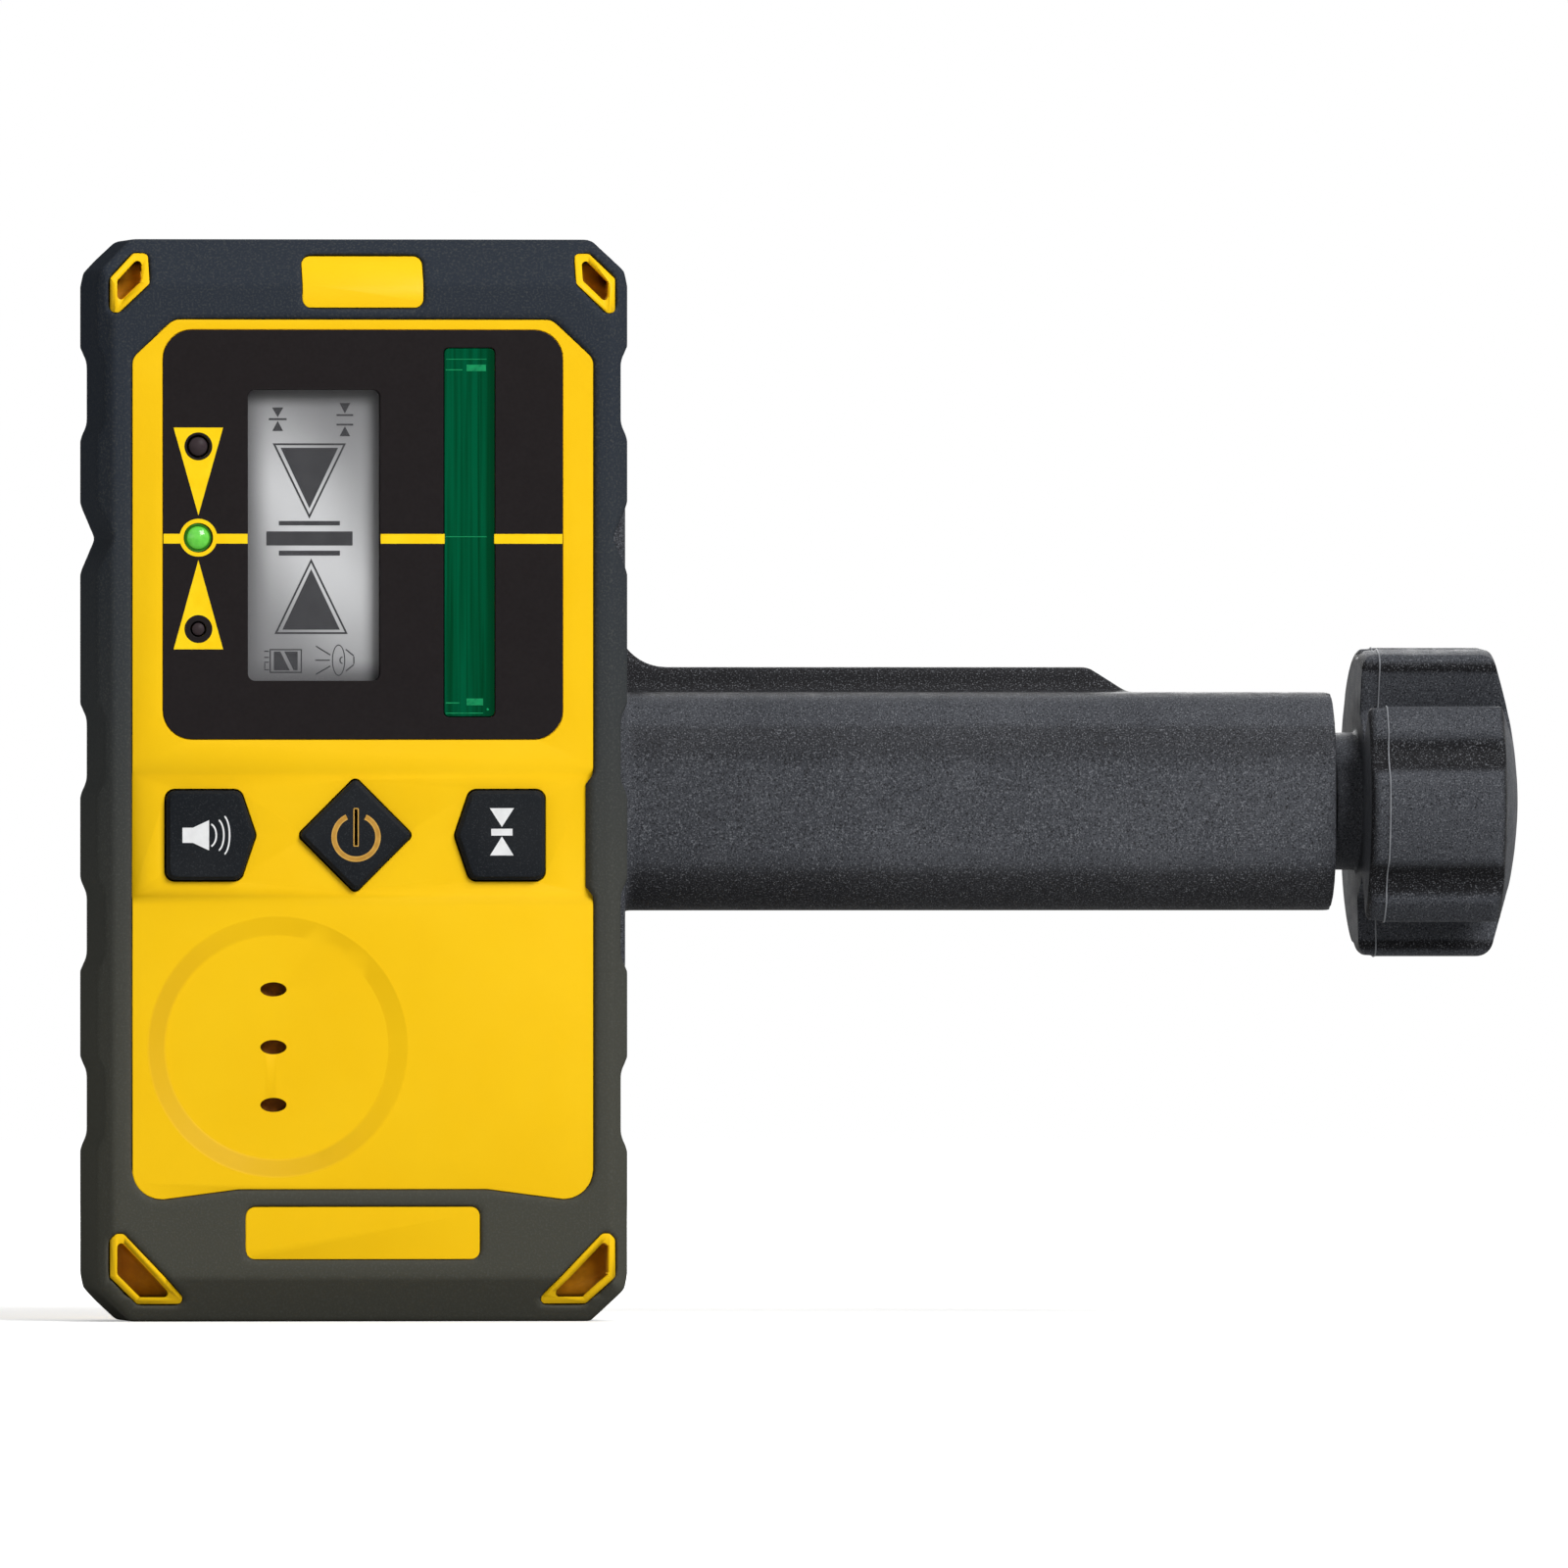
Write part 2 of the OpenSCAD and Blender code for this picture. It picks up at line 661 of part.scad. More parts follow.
module lcd_lens() color("lightgrey", 0.4) in_frame() {
    along_y(lens_front, lens_back) lcd_outline(lens_lip);
    along_y(face_y + 0.15, lens_front) lcd_outline(-fit);
}

module lcd_module() color("#b9bcbe") in_frame()
    along_y(ceiling + 0.05, ceiling + 0.05 + lcd_t) lcd_outline(lcd_frame);

module contact_strips() color("#6b6f73") in_frame() for (s = [-1, 1])
    translate([lcd_x, 0, 0.35 + s * (lcd_h / 2 + lcd_frame - 1.3)])
        block(-lcd_w / 2, lcd_w / 2, ceiling + 0.05 + lcd_t, board_front, -1, 1);

module sensor_window() color("#00532f", 0.7) in_frame() {
    along_y(face_y + 0.05, ceiling) sensor_outline(0);
    along_y(ceiling, ceiling + sensor_flange) sensor_outline(0.9);
}

module sensor_board() color("#1d5a3a") in_frame() {
    along_y(board_front - 1, board_front) sensor_outline(0.4);
    for (i = [0:5]) translate([sensor_x, 0, 0.75 + (i - 2.5) * 8.2])
        block(-2.2, 2.2, board_front - 2, board_front - 1, -3.6, 3.6);
}

module light_pipe(r, z) translate([light_x, 0, z]) rotate([-90, 0, 0]) rotate_extrude() polygon(concat(
    [[0, board_front - 0.6], [r - 0.3, board_front - 0.6], [r + 0.7, ceiling + 1], [r + 0.7, ceiling],
        [r, ceiling]],
    arc(r * 1.3, 0, face_y + r * 1.3 - 0.25, -pipe_dome, -90)
));
module light_pipe_high() color("#332a10") in_frame() light_pipe(pipe_r, light_step);
module light_pipe_grade() color("#5fc13e") in_frame() light_pipe(grade_pipe_r, 0);
module light_pipe_low() color("#332a10") in_frame() light_pipe(low_pipe_r, -light_step);

module main_board() color("#1d5a3a") in_frame() difference() {
    block(-board_hw, board_hw, board_front, board_back, board_low, board_top);
    case_spots() rod_y(boss_r + 0.6, front_y, 0);
    along_y(front_y, 0) corner_pockets(pocket_post + 0.6);
    post_spots() rod_y(board_screw_r + run, front_y, 0);
}

module board_parts() color("#2b2b2e") in_frame() {
    for (c = board_chips) block(c[0], c[1], board_back, board_back + c[4], c[2], c[3]);
    for (c = board_cans) translate([c[0], 0, c[1]]) rod_y(c[2], board_back, board_back + c[3]);
    for (i = [-1:1]) translate([light_x, 0, i * light_step])
        block(-0.8, 0.8, board_front - 0.55, board_front, -0.8, 0.8);
}

module board_screws() color("silver") in_frame() post_spots() {
    rod_y(board_screw_r, room_front - 0.8, board_back);
    rod_y(board_screw_r * 1.9, board_back, board_back + 1.3);
}

module key_domes() color("silver") in_frame() for (x = key_xs)
    translate([x, board_front, -key_drop]) rotate([90, 0, 0]) rotate_extrude()
        polygon([[0, 0], [3, 0], [2.2, 0.3], [0, 0.3]]);

// A key: its cap, its collar behind the face and its actuating stem
module key(which) {
    bottom = room_front + slide / 2;
    along_y(band_floor - key_out + 0.4, bottom) key_shape(which, 0);
    along_y(band_floor - key_out, band_floor - key_out + 0.4) key_shape(which, -0.4);
    along_y(bottom, bottom + key_flange_t) key_shape(which, key_rim);
    translate([key_xs[which], 0, -key_drop])
        rod_y(1.5, bottom + key_flange_t, board_front - 0.3 - key_travel - 0.05);
}
module key_volume() color("#202325") in_frame() key(0);
module key_power() color("#202325") in_frame() key(1);
module key_accuracy() color("#202325") in_frame() key(2);

module sound_membrane() color("dimgray") in_frame() translate([hole_x, 0, dish_z])
    rod_y(membrane_r, ceiling + dish_d, ceiling + dish_d + membrane_t);

module buzzer() color("#15171a") in_frame() translate([hole_x, 0, dish_z]) difference() {
    rod_y(buzzer_r, ceiling + dish_d + membrane_t, board_front);
    rod_y(1.2, front_y, ceiling + dish_d + membrane_t + 0.8);
}

module battery_box() color("#25282b") in_frame() difference() {
    block(-bay_hw - bay_wall, bay_hw + bay_wall, cell_y - cell_r - 0.2 - bay_wall, bay_y,
        cell_z - bay_half_h - bay_wall, cell_z + bay_half_h + bay_wall);
    for (z = cell_zs) translate([0, cell_y, z]) {
        rod_x(cell_r + 0.2, -bay_hw, bay_hw);
        block(-bay_hw, bay_hw, 0, bay_y, -cell_r - 0.2, cell_r + 0.2);
    }
}

// A cell with its button to the right of its body
module cell() translate([0, cell_y, 0]) {
    rod_x(cell_r, -bay_hw + spring_l, -bay_hw + spring_l + cell_l - button_l);
    rod_x(button_r, -bay_hw + spring_l + cell_l - button_l, -bay_hw + spring_l + cell_l);
}
module battery_upper() color("#c9ccd0") in_frame() translate([0, 0, cell_zs[0]]) cell();
module battery_lower() color("#c9ccd0") in_frame() translate([0, 0, cell_zs[1]]) mirror([1, 0, 0]) cell();

module contact_springs() color("silver") in_frame() for (i = [0, 1])
    translate([0, cell_y, cell_zs[i]]) mirror([i, 0, 0]) translate([-bay_hw, 0, 0]) rotate([0, 90, 0])
        rotate_extrude()
            polygon([[0, 0], [spring_r, 0], [spring_r, 0.5], [spring_tip_r, spring_l], [0, spring_l]]);

module contact_plates() color("silver") in_frame() for (i = [0, 1])
    translate([0, cell_y, cell_zs[i]]) mirror([i, 0, 0])
        block(bay_hw - contact_t, bay_hw, -spring_r, 0.8 * spring_r, -spring_r, spring_r);

module battery_door() color("gold") in_frame() difference() {
    union() {
        block(-door_hw, door_hw, door_in, rear_face_y, door_axis_z, door_top);
        translate([0, door_axis_y, door_axis_z]) rod_x(door_barrel_r, -door_hw, door_hw);
    }
    translate([0, door_axis_y, door_axis_z]) rod_x(door_pin_r + run, -door_hw - 1, door_hw + 1);
    translate([0, 0, door_top]) rod_y(scoop_r, rear_face_y - scoop_d, back_y);
    for (i = [-2:2]) translate([i * door_rib_pitch, 0, door_top]) block(-door_rib_w / 2, door_rib_w / 2,
        rear_face_y - door_rib_d, back_y, -door_rib_zs[1], -door_rib_zs[0]);
}

module door_hinge_pin() color("silver") in_frame() translate([0, door_axis_y, door_axis_z])
    rod_x(door_pin_r, -door_hw - slide - pin_bite + fit, door_hw + slide + pin_bite - fit);

module door_gasket() color("#15171a") in_frame() difference() {
    block(-mouth_hw - 1.3, mouth_hw + 1.3, ledge_y, ledge_y + 0.5, mouth_low - 1.2, mouth_top + 1.2);
    block(-mouth_hw - 0.1, mouth_hw + 0.1, 0, back_y, mouth_low - 0.1, mouth_top + 0.1);
}

module threaded_insert() color("goldenrod") in_frame() translate([0, 0, stud_z]) difference() {
    rod_y(insert_r, plate_y - insert_l, plate_y);
    rod_y(stud_r + run, plate_y - insert_l - 1, plate_y + 1);
}

// The arm's cross-section in Y and Z, drawn in by a distance
module arm_section(inset) hull() for (s = [-1, 1]) {
    translate([arm_y0 + arm_front_r, axis_z + s * (arm_h / 2 - arm_front_r)]) circle(arm_front_r - inset);
    translate([arm_y1 - arm_rear_r, axis_z + s * (arm_h / 2 - arm_rear_r)]) circle(arm_rear_r - inset);
}
module jaw_wall() polygon([
    [plate_y, jaw_top], [arm_y1, jaw_top], [jaw_y1, jaw_top - jaw_taper], [jaw_y1, jaw_low + jaw_taper],
    [arm_y1, jaw_low], [plate_y, jaw_low]
]);

module clamp_body() color("#34363a") in_frame() difference() {
    union() {
        along_x(wall_x, jaw_wall_x) rounded(3) jaw_wall();
        along_x(jaw_wall_x - 1, arm_end) arm_section(0);
        along_y(plate_y, plate_y + plate_t) translate([-plate_hw, axis_z - plate_h / 2])
            rounded(4) square([plate_hw + jaw_wall_x, plate_h]);
        for (s = [-1, 1]) along_y(plate_y, plate_y + plate_t + 5)
            translate([-plate_hw + 3, axis_z + s * (plate_h / 2 - 4) - 1.25])
                square([plate_hw + wall_x, 2.5]);
        for (x = [-peg_x, peg_x]) translate([x, 0, stud_z]) rod_y(peg_r, plate_y - peg_l, plate_y + 1);
        along_y(rib_y, arm_y1) arm_rib();
        at_axis() rod_x(bushing_r + 2.5, jaw_wall_x - 1, jaw_wall_x + root_boss_l);
    }
    difference() {
        along_x(jaw_wall_x + 0.5, arm_end + 1) arm_section(arm_wall);
        at_axis() rod_x(bushing_r + 2.5, jaw_wall_x, jaw_wall_x + root_boss_l);
        end_blocks() block(end_plate_x - block_l, end_plate_x, -3.2, 3.2, -1.9, 4);
    }
    block(slot_x0, slot_x1, arm_y1 - arm_wall - 1, arm_y1 + 1, axis_z - slot_h / 2, axis_z + slot_h / 2);
    at_axis() rod_x(bushing_r, wall_x + 0.8, jaw_wall_x + root_boss_l + 1);
    translate([0, 0, stud_z]) rod_y(stud_r + 0.2, plate_y - 1, plate_y + plate_t + 1);
    end_blocks() rod_x(1.25, end_plate_x - block_l + 1, end_plate_x + 1);
}
// The rib on top of the arm, with its fillet into the wall and its sloped end
module arm_rib() {
    base = axis_z + arm_h / 2 - arm_rear_r;
    top = axis_z + arm_h / 2 + rib_rise;
    polygon([[jaw_wall_x - 1, base], [jaw_wall_x - 1, top], [jaw_wall_x + rib_l, top],
        [jaw_wall_x + rib_l + rib_slope, top - rib_rise], [jaw_wall_x + rib_l + rib_slope, base]]);
    difference() {
        translate([jaw_wall_x - 1, top - 1]) square([rib_fillet + 1, rib_fillet + 1]);
        translate([jaw_wall_x + rib_fillet, top + rib_fillet]) circle(rib_fillet);
    }
}
// Places of the end plate's two screws, above and below the axis
module end_blocks() at_axis() for (s = [0, 1]) mirror([0, 0, s])
    translate([0, 0, arm_h / 2 - arm_wall - 2.6]) children();

module fixed_jaw_pad() color("#15171a") in_frame() difference() {
    block(jaw_wall_x, grip_x, arm_y1 + 1, jaw_y1 - 1, jaw_low + 5, jaw_top - 5);
    for (i = [1:4]) block(grip_x - 0.6, grip_x + 1, arm_y1 + jaw_reach * i / 5 - 0.5,
        arm_y1 + jaw_reach * i / 5 + 0.5, jaw_low, jaw_top);
}

module screw_bushing() color("goldenrod") in_frame() at_axis() difference() {
    rod_x(bushing_r, wall_x + 1, jaw_wall_x + root_boss_l);
    rod_x(pilot_r + run, wall_x, jaw_wall_x + root_boss_l + 1);
}

module arm_end_plate() color("#34363a") in_frame() difference() {
    along_x(end_plate_x, end_plate_x + end_plate_t) arm_section(arm_wall + fit);
    at_axis() rod_x(journal_r + run, end_plate_x - 1, arm_end);
    end_blocks() {
        rod_x(1.3, end_plate_x - 1, arm_end);
        rod_x(2.3, end_plate_x + end_plate_t - 1.2, arm_end);
    }
}

module end_plate_screws() color("silver") in_frame() end_blocks() {
    rod_x(1.2, end_plate_x - block_l + 2, end_plate_x + end_plate_t - 1.2);
    rod_x(2.2, end_plate_x + end_plate_t - 1.2, end_plate_x + end_plate_t - 0.1);
}

module thrust_washers() color("silver") in_frame() at_axis() for (x = [end_plate_x - washer_t - gap_x / 2,
    end_plate_x + end_plate_t + gap_x / 2]) difference() {
        rod_x(collar_r - 1.2, x, x + washer_t);
        rod_x(journal_r + run, x - 1, x + washer_t + 1);
    }

module moving_jaw() color("#34363a") in_frame() difference() {
    union() {
        along_x(jaw_x, jaw_x + carriage_l) arm_section(arm_wall + slide);
        block(jaw_x, jaw_x + carriage_l - 8, axis_y, arm_y1 + 2, axis_z - slot_h / 2 + slide,
            axis_z + slot_h / 2 - slide);
        along_x(jaw_x, jaw_x + jaw_plate_t) rounded(3) translate([arm_y1 + slide, axis_z - jaw_plate_h / 2])
            square([jaw_reach - slide, jaw_plate_h]);
        translate([0, 0, axis_z - 2]) linear_extrude(4) polygon([
            [jaw_x + 1, arm_y1 + slide], [jaw_x + carriage_l, arm_y1 + slide],
            [jaw_x + jaw_plate_t, jaw_y1 - 2], [jaw_x + 1, jaw_y1 - 2]
        ]);
    }
    at_axis() rod_x(screw_r + 0.5, jaw_x - 1, jaw_x + carriage_l + 1);
    at_axis() rod_x(nut_r, jaw_x + carriage_l - nut_l, jaw_x + carriage_l + 1);
}

module moving_jaw_pad() color("#15171a") in_frame() difference() {
    block(jaw_x - pad_t, jaw_x, arm_y1 + 1, jaw_y1 - 1, axis_z - jaw_plate_h / 2 + 2,
        axis_z + jaw_plate_h / 2 - 2);
    for (i = [1:4]) block(jaw_x - pad_t - 1, jaw_x - pad_t + 0.6, arm_y1 + jaw_reach * i / 5 - 0.5,
        arm_y1 + jaw_reach * i / 5 + 0.5, jaw_low, jaw_top);
}

module jaw_nut() color("goldenrod") in_frame() at_axis() difference() {
    rod_x(nut_r, jaw_x + carriage_l - nut_l, jaw_x + carriage_l);
    rod_x(screw_r + run, jaw_x, jaw_x + carriage_l + 1);
}

module lead_screw() color("#9a9da1") in_frame() at_axis() {
    rod_x(pilot_r, wall_x + 1.2, jaw_wall_x + root_boss_l + 1);
    rod_x(screw_r, jaw_wall_x + root_boss_l + 1, collar_x1 - collar_l);
    rod_x(collar_r, collar_x1 - collar_l, collar_x1);
    difference() {
        rod_x(journal_r, collar_x1, screw_end);
        rod_x(1.25, screw_end - 8, screw_end + 1);
    }
}

// The knob's lobed outline, seen along its axis
module lobes(inset) rotate(180 - lobe_turn) offset(r = lobe_round, $fn = 32)
    offset(delta = -lobe_round - inset) union() {
        circle(knob_core);
        for (i = [0:2]) rotate(i * 120) difference() {
            intersection() {
                circle(knob_r, $fn = 128);
                polygon([[0, 0], 2 * knob_r * [cos(lobe_half), sin(lobe_half)], [3 * knob_r, 0],
                    2 * knob_r * [cos(lobe_half), -sin(lobe_half)]]);
            }
            for (a = [-flute_turn, flute_turn]) rotate(a) translate([knob_r + flute_r - flute_d, 0])
                circle(flute_r);
        }
    }
module knob() color("#34363a") in_frame() at_axis() difference() {
    union() {
        rod_x(neck_r, neck_x, knob_x + 1);
        intersection() {
            translate([knob_x, 0, 0]) rotate([0, 90, 0]) rotate_extrude() polygon(concat(
                [[0, 0]], arc(knob_rim, knob_r - knob_rim, knob_rim, -90, 0),
                arc(knob_edge, knob_r - knob_edge, knob_l - knob_edge, 0, knob_edge_turn),
                [for (i = [1:8]) let (r = (knob_r - knob_edge) * (1 - i / 8))
                    [r, knob_l + knob_dome * (1 - pow(r / (knob_r - knob_edge), 2))]]
            ));
            union() {
                along_x(knob_x - 1, knob_x + part_line) lobes(part_step);
                along_x(knob_x + part_line, knob_x + knob_l + knob_dome + 1) lobes(0);
            }
        }
    }
    rod_x(journal_r + run, neck_x - 1, screw_end + 0.2);
    rod_x(1.5, screw_end, knob_x + knob_l);
    rod_x(3.2, screw_end + 2.2, knob_x + knob_l + knob_dome + 1);
    rod_x(cap_r + fit, knob_x + knob_l + knob_dome - cap_t, knob_x + knob_l + knob_dome + 1);
}

module knob_screw() color("silver") in_frame() at_axis() {
    rod_x(1.2, screw_end - 7, screw_end + 2.2);
    rod_x(3, screw_end + 2.2, screw_end + 4.2);
}

module knob_cap() color("#34363a") in_frame() at_axis() {
    cap_x = knob_x + knob_l + knob_dome - cap_t;
    rod_x(cap_r, cap_x, cap_x + cap_t - 0.3);
    rod_x(3.1, cap_x - 1, cap_x + 1);
}

module thumbscrew() color("#34363a") in_frame() translate([0, 0, stud_z]) difference() {
    union() {
        rod_y(6, thumb_y, thumb_y + 1.5);
        along_y(thumb_y + 1.5, thumb_y + thumb_l) difference() {
            circle(thumb_r);
            for (i = [0:7]) rotate(i * 45) translate([thumb_r + 1.2, 0]) circle(2.8);
        }
    }
    rod_y(stud_r, thumb_y - 1, thumb_y + thumb_l - 2);
}

module thumbscrew_stud() color("silver") in_frame() translate([0, 0, stud_z])
    rod_y(stud_r, plate_y - insert_l + 1, thumb_y + thumb_l - 2);

module thumbscrew_washer() color("silver") in_frame() translate([0, 0, stud_z]) difference() {
    rod_y(thumb_washer_r, plate_y + plate_t, plate_y + plate_t + thumb_washer_t);
    rod_y(stud_r + 0.2, plate_y, thumb_y);
}

front_housing();
rear_housing();
bumper();
housing_seal();
case_screws();
display_label();
lcd_lens();
lcd_module();
contact_strips();
sensor_window();
sensor_board();
light_pipe_high();
light_pipe_grade();
light_pipe_low();
main_board();
board_parts();
board_screws();
key_domes();
buzzer();
sound_membrane();
key_volume();
key_power();
key_accuracy();
battery_box();
battery_upper();
battery_lower();
contact_springs();
contact_plates();
battery_door();
door_hinge_pin();
door_gasket();
threaded_insert();
clamp_body();
fixed_jaw_pad();
screw_bushing();
arm_end_plate();
end_plate_screws();
thrust_washers();
moving_jaw();
moving_jaw_pad();
jaw_nut();
lead_screw();
knob();
knob_screw();
knob_cap();
thumbscrew();
thumbscrew_stud();
thumbscrew_washer();
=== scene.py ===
"""Looks of the laser receiver on its rod clamp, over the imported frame."""
import json
import math

import bmesh
import bpy
from mathutils import Matrix, Vector
from mathutils.bvhtree import BVHTree
from mathutils.kdtree import KDTree

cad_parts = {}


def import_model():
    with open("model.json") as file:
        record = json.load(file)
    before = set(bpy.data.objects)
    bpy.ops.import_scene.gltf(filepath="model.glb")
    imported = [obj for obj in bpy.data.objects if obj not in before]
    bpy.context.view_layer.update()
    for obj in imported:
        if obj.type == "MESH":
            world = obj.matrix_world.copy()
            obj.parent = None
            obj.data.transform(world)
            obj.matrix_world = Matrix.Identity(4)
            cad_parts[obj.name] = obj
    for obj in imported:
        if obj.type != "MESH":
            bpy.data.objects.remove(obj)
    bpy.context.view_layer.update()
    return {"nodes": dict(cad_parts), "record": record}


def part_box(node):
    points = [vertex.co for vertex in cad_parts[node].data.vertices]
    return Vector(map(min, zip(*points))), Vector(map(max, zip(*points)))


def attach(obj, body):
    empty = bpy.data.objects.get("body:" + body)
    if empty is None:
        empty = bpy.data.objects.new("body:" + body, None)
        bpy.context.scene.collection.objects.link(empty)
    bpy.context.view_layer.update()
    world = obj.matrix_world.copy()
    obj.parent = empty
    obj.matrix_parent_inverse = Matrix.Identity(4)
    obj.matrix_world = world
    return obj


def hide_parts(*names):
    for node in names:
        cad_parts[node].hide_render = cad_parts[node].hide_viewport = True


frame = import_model()
MM = 0.001
# Width of the rim by which each window is glued in
LENS_LIP = 1 * MM
# The sounder's dish lies this far to the right of the membrane behind it
DISH_SIDE = 0.5 * MM

# Places read from the frame: the receiver's middle, its fronts, and the arm's axis
bumper_lo, bumper_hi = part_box("bumper")
mid_x = (bumper_lo.x + bumper_hi.x) / 2
label_lo, label_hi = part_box("display_label")
label_front = label_lo.y
lcd_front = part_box("lcd_module")[0].y
lens_lo, lens_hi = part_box("lcd_lens")
window_lo, window_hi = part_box("sensor_window")
key_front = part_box("key_power")[0].y
screw_lo, screw_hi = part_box("lead_screw")
axis_y = (screw_lo.y + screw_hi.y) / 2
axis_z = (screw_lo.z + screw_hi.z) / 2
membrane_lo, membrane_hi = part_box("sound_membrane")
dish_mid = (membrane_lo + membrane_hi) / 2 + Vector((DISH_SIDE, 0, 0))
knob_lo, knob_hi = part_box("knob")
knob_r = max(knob_hi.z - axis_z, axis_z - knob_lo.z, knob_hi.y - axis_y, axis_y - knob_lo.y)

# Camera: the photograph's viewing angle in degrees, from far away, and the spot it aims at,
# from the receiver's middle, its front and the on-grade line
AZIMUTH = -5.75
LENS = 1000
SENSOR = 36
VIEW_W = 217.4 * MM
AIM_X = 58.6 * MM
AIM_Y = 0.5 * MM
AIM_Z = -34.1 * MM


def make_camera():
    data = bpy.data.cameras.new("camera")
    data.lens = LENS
    data.sensor_width = SENSOR
    data.clip_start = 0.1
    data.clip_end = 50
    cam = bpy.data.objects.new("camera", data)
    bpy.context.scene.collection.objects.link(cam)
    bpy.context.scene.camera = cam
    turn = math.radians(AZIMUTH)
    back = Vector((math.sin(turn), -math.cos(turn), 0))
    aim = Vector((mid_x + AIM_X, bumper_lo.y + AIM_Y, AIM_Z))
    cam.location = aim + back * (VIEW_W * LENS / SENSOR)
    cam.rotation_mode = "QUATERNION"
    cam.rotation_quaternion = (-back).to_track_quat("-Z", "Y")


make_camera()


# Materials: each has its own drift of colour, its grain and its roughness from nodes


def tone(code):
    """A colour written as #RRGGBB, as the shader's own linear values."""
    parts = [int(code[i:i + 2], 16) / 255 for i in (1, 3, 5)]
    return (*[c / 12.92 if c <= 0.04045 else ((c + 0.055) / 1.055) ** 2.4 for c in parts], 1)


class Look:
    """A Principled material and short calls for the nodes in front of it."""

    def __init__(self, name, rough=0.5, metal=0.0, coat=0.0, shine=0.2):
        self.m = bpy.data.materials.new(name)
        self.m.use_nodes = True
        self.tree = self.m.node_tree
        self.bsdf = self.tree.nodes["Principled BSDF"]
        self.bsdf.inputs["Roughness"].default_value = rough
        self.bsdf.inputs["Metallic"].default_value = metal
        self.bsdf.inputs["Coat Weight"].default_value = coat
        self.bsdf.inputs["Specular IOR Level"].default_value = shine
        self.place = self.node("ShaderNodeTexCoord").outputs["Object"]

    def node(self, kind, **values):
        n = self.tree.nodes.new(kind)
        for key, value in values.items():
            setattr(n, key, value)
        return n

    def link(self, a, b):
        self.tree.links.new(a, b)

    def noise(self, size, detail=3.0, stretch=(1, 1, 1)):
        """Cloudy values with features of that size in millimetres, drawn out along an axis."""
        n = self.node("ShaderNodeTexNoise")
        n.inputs["Scale"].default_value = 1000 / size
        n.inputs["Detail"].default_value = detail
        self.link(self.stretched(stretch), n.inputs["Vector"])
        return n.outputs["Fac"]

    def stretched(self, stretch):
        if stretch == (1, 1, 1):
            return self.place
        n = self.node("ShaderNodeMapping")
        n.inputs["Scale"].default_value = [1 / s for s in stretch]
        self.link(self.place, n.inputs["Vector"])
        return n.outputs["Vector"]

    def xyz(self):
        """The place as its three values."""
        split = self.node("ShaderNodeSeparateXYZ")
        self.link(self.place, split.inputs[0])
        return [split.outputs[axis] for axis in "XYZ"]

    def along(self, axis, start, end):
        """0 at start and 1 at end along an axis, in metres, with a soft start and end."""
        return self.mapped(self.xyz()["XYZ".index(axis)], start, end, 0, 1, True)

    def mapped(self, value, start, end, low, high, smooth=False):
        """The value's way from start to end, as a number from low to high, and no further."""
        n = self.node("ShaderNodeMapRange")
        n.interpolation_type = "SMOOTHSTEP" if smooth else "LINEAR"
        for i, v in enumerate((start, end, low, high)):
            n.inputs[i + 1].default_value = v
        self.link(value, n.inputs[0])
        return n.outputs[0]

    def combine(self, operation, a, b=0):
        """One step of arithmetic; each value is a number or another node's output."""
        n = self.node("ShaderNodeMath", operation=operation)
        for i, v in enumerate((a, b)):
            if isinstance(v, (int, float)):
                n.inputs[i].default_value = v
            else:
                self.link(v, n.inputs[i])
        return n.outputs[0]

    def product(self, first, *others):
        for other in others:
            first = self.combine("MULTIPLY", first, other)
        return first

    def distance(self, a, b):
        """How far a point with these two coordinates lies from their zero."""
        squares = [self.product(v, v) for v in (a, b)]
        return self.combine("SQRT", self.combine("ADD", *squares))

    def mix(self, factor, low, high):
        """A colour between low and high; each is a #RRGGBB or another node's output."""
        n = self.node("ShaderNodeMix", data_type="RGBA")
        self.link(factor, n.inputs[0])
        for i, v in ((6, low), (7, high)):
            if isinstance(v, str):
                n.inputs[i].default_value = tone(v)
            else:
                self.link(v, n.inputs[i])
        return n.outputs[2]

    def color(self, output):
        self.link(output, self.bsdf.inputs["Base Color"])
        return self

    def roughness(self, value, low, high):
        self.link(self.mapped(value, 0.3, 0.7, low, high), self.bsdf.inputs["Roughness"])
        return self

    def bump(self, value, depth, after=None):
        """Raises the surface by the value times depth, in millimetres."""
        n = self.node("ShaderNodeBump")
        n.inputs["Distance"].default_value = depth * MM
        self.link(value, n.inputs["Height"])
        if after:
            self.link(after, n.inputs["Normal"])
        self.link(n.outputs[0], self.bsdf.inputs["Normal"])
        return n.outputs[0]


# Where the front shell gets an amber painted shade, in millimetres: above the first height are the
# upper pockets, below the second the sound holes and the lower pockets, each with a border this wide
POCKET_LOW = 30
HOLE_TOP = -53
AMBER_BORDER = 0.5
# The depths behind the film's front where the amber painted shade starts and where it is full
AMBER_FROM = 0.9
AMBER_TO = 2.5
# The shell is dark from this deep behind the film's front, this far in from its two edges, each
# with a border this wide
FILM_BACK = 0.55
FILM_IN = 0.5
FILM_BORDER = 0.1
# The receiver's sloping ends: how high they are, and how far they lie back for their height
END_BEVEL = 6.4
END_SLOPE = 4.5 / 6.2
# The sounder's dish and the sloping rim round it
DISH_R = 18.1
DISH_EDGE = 2.6


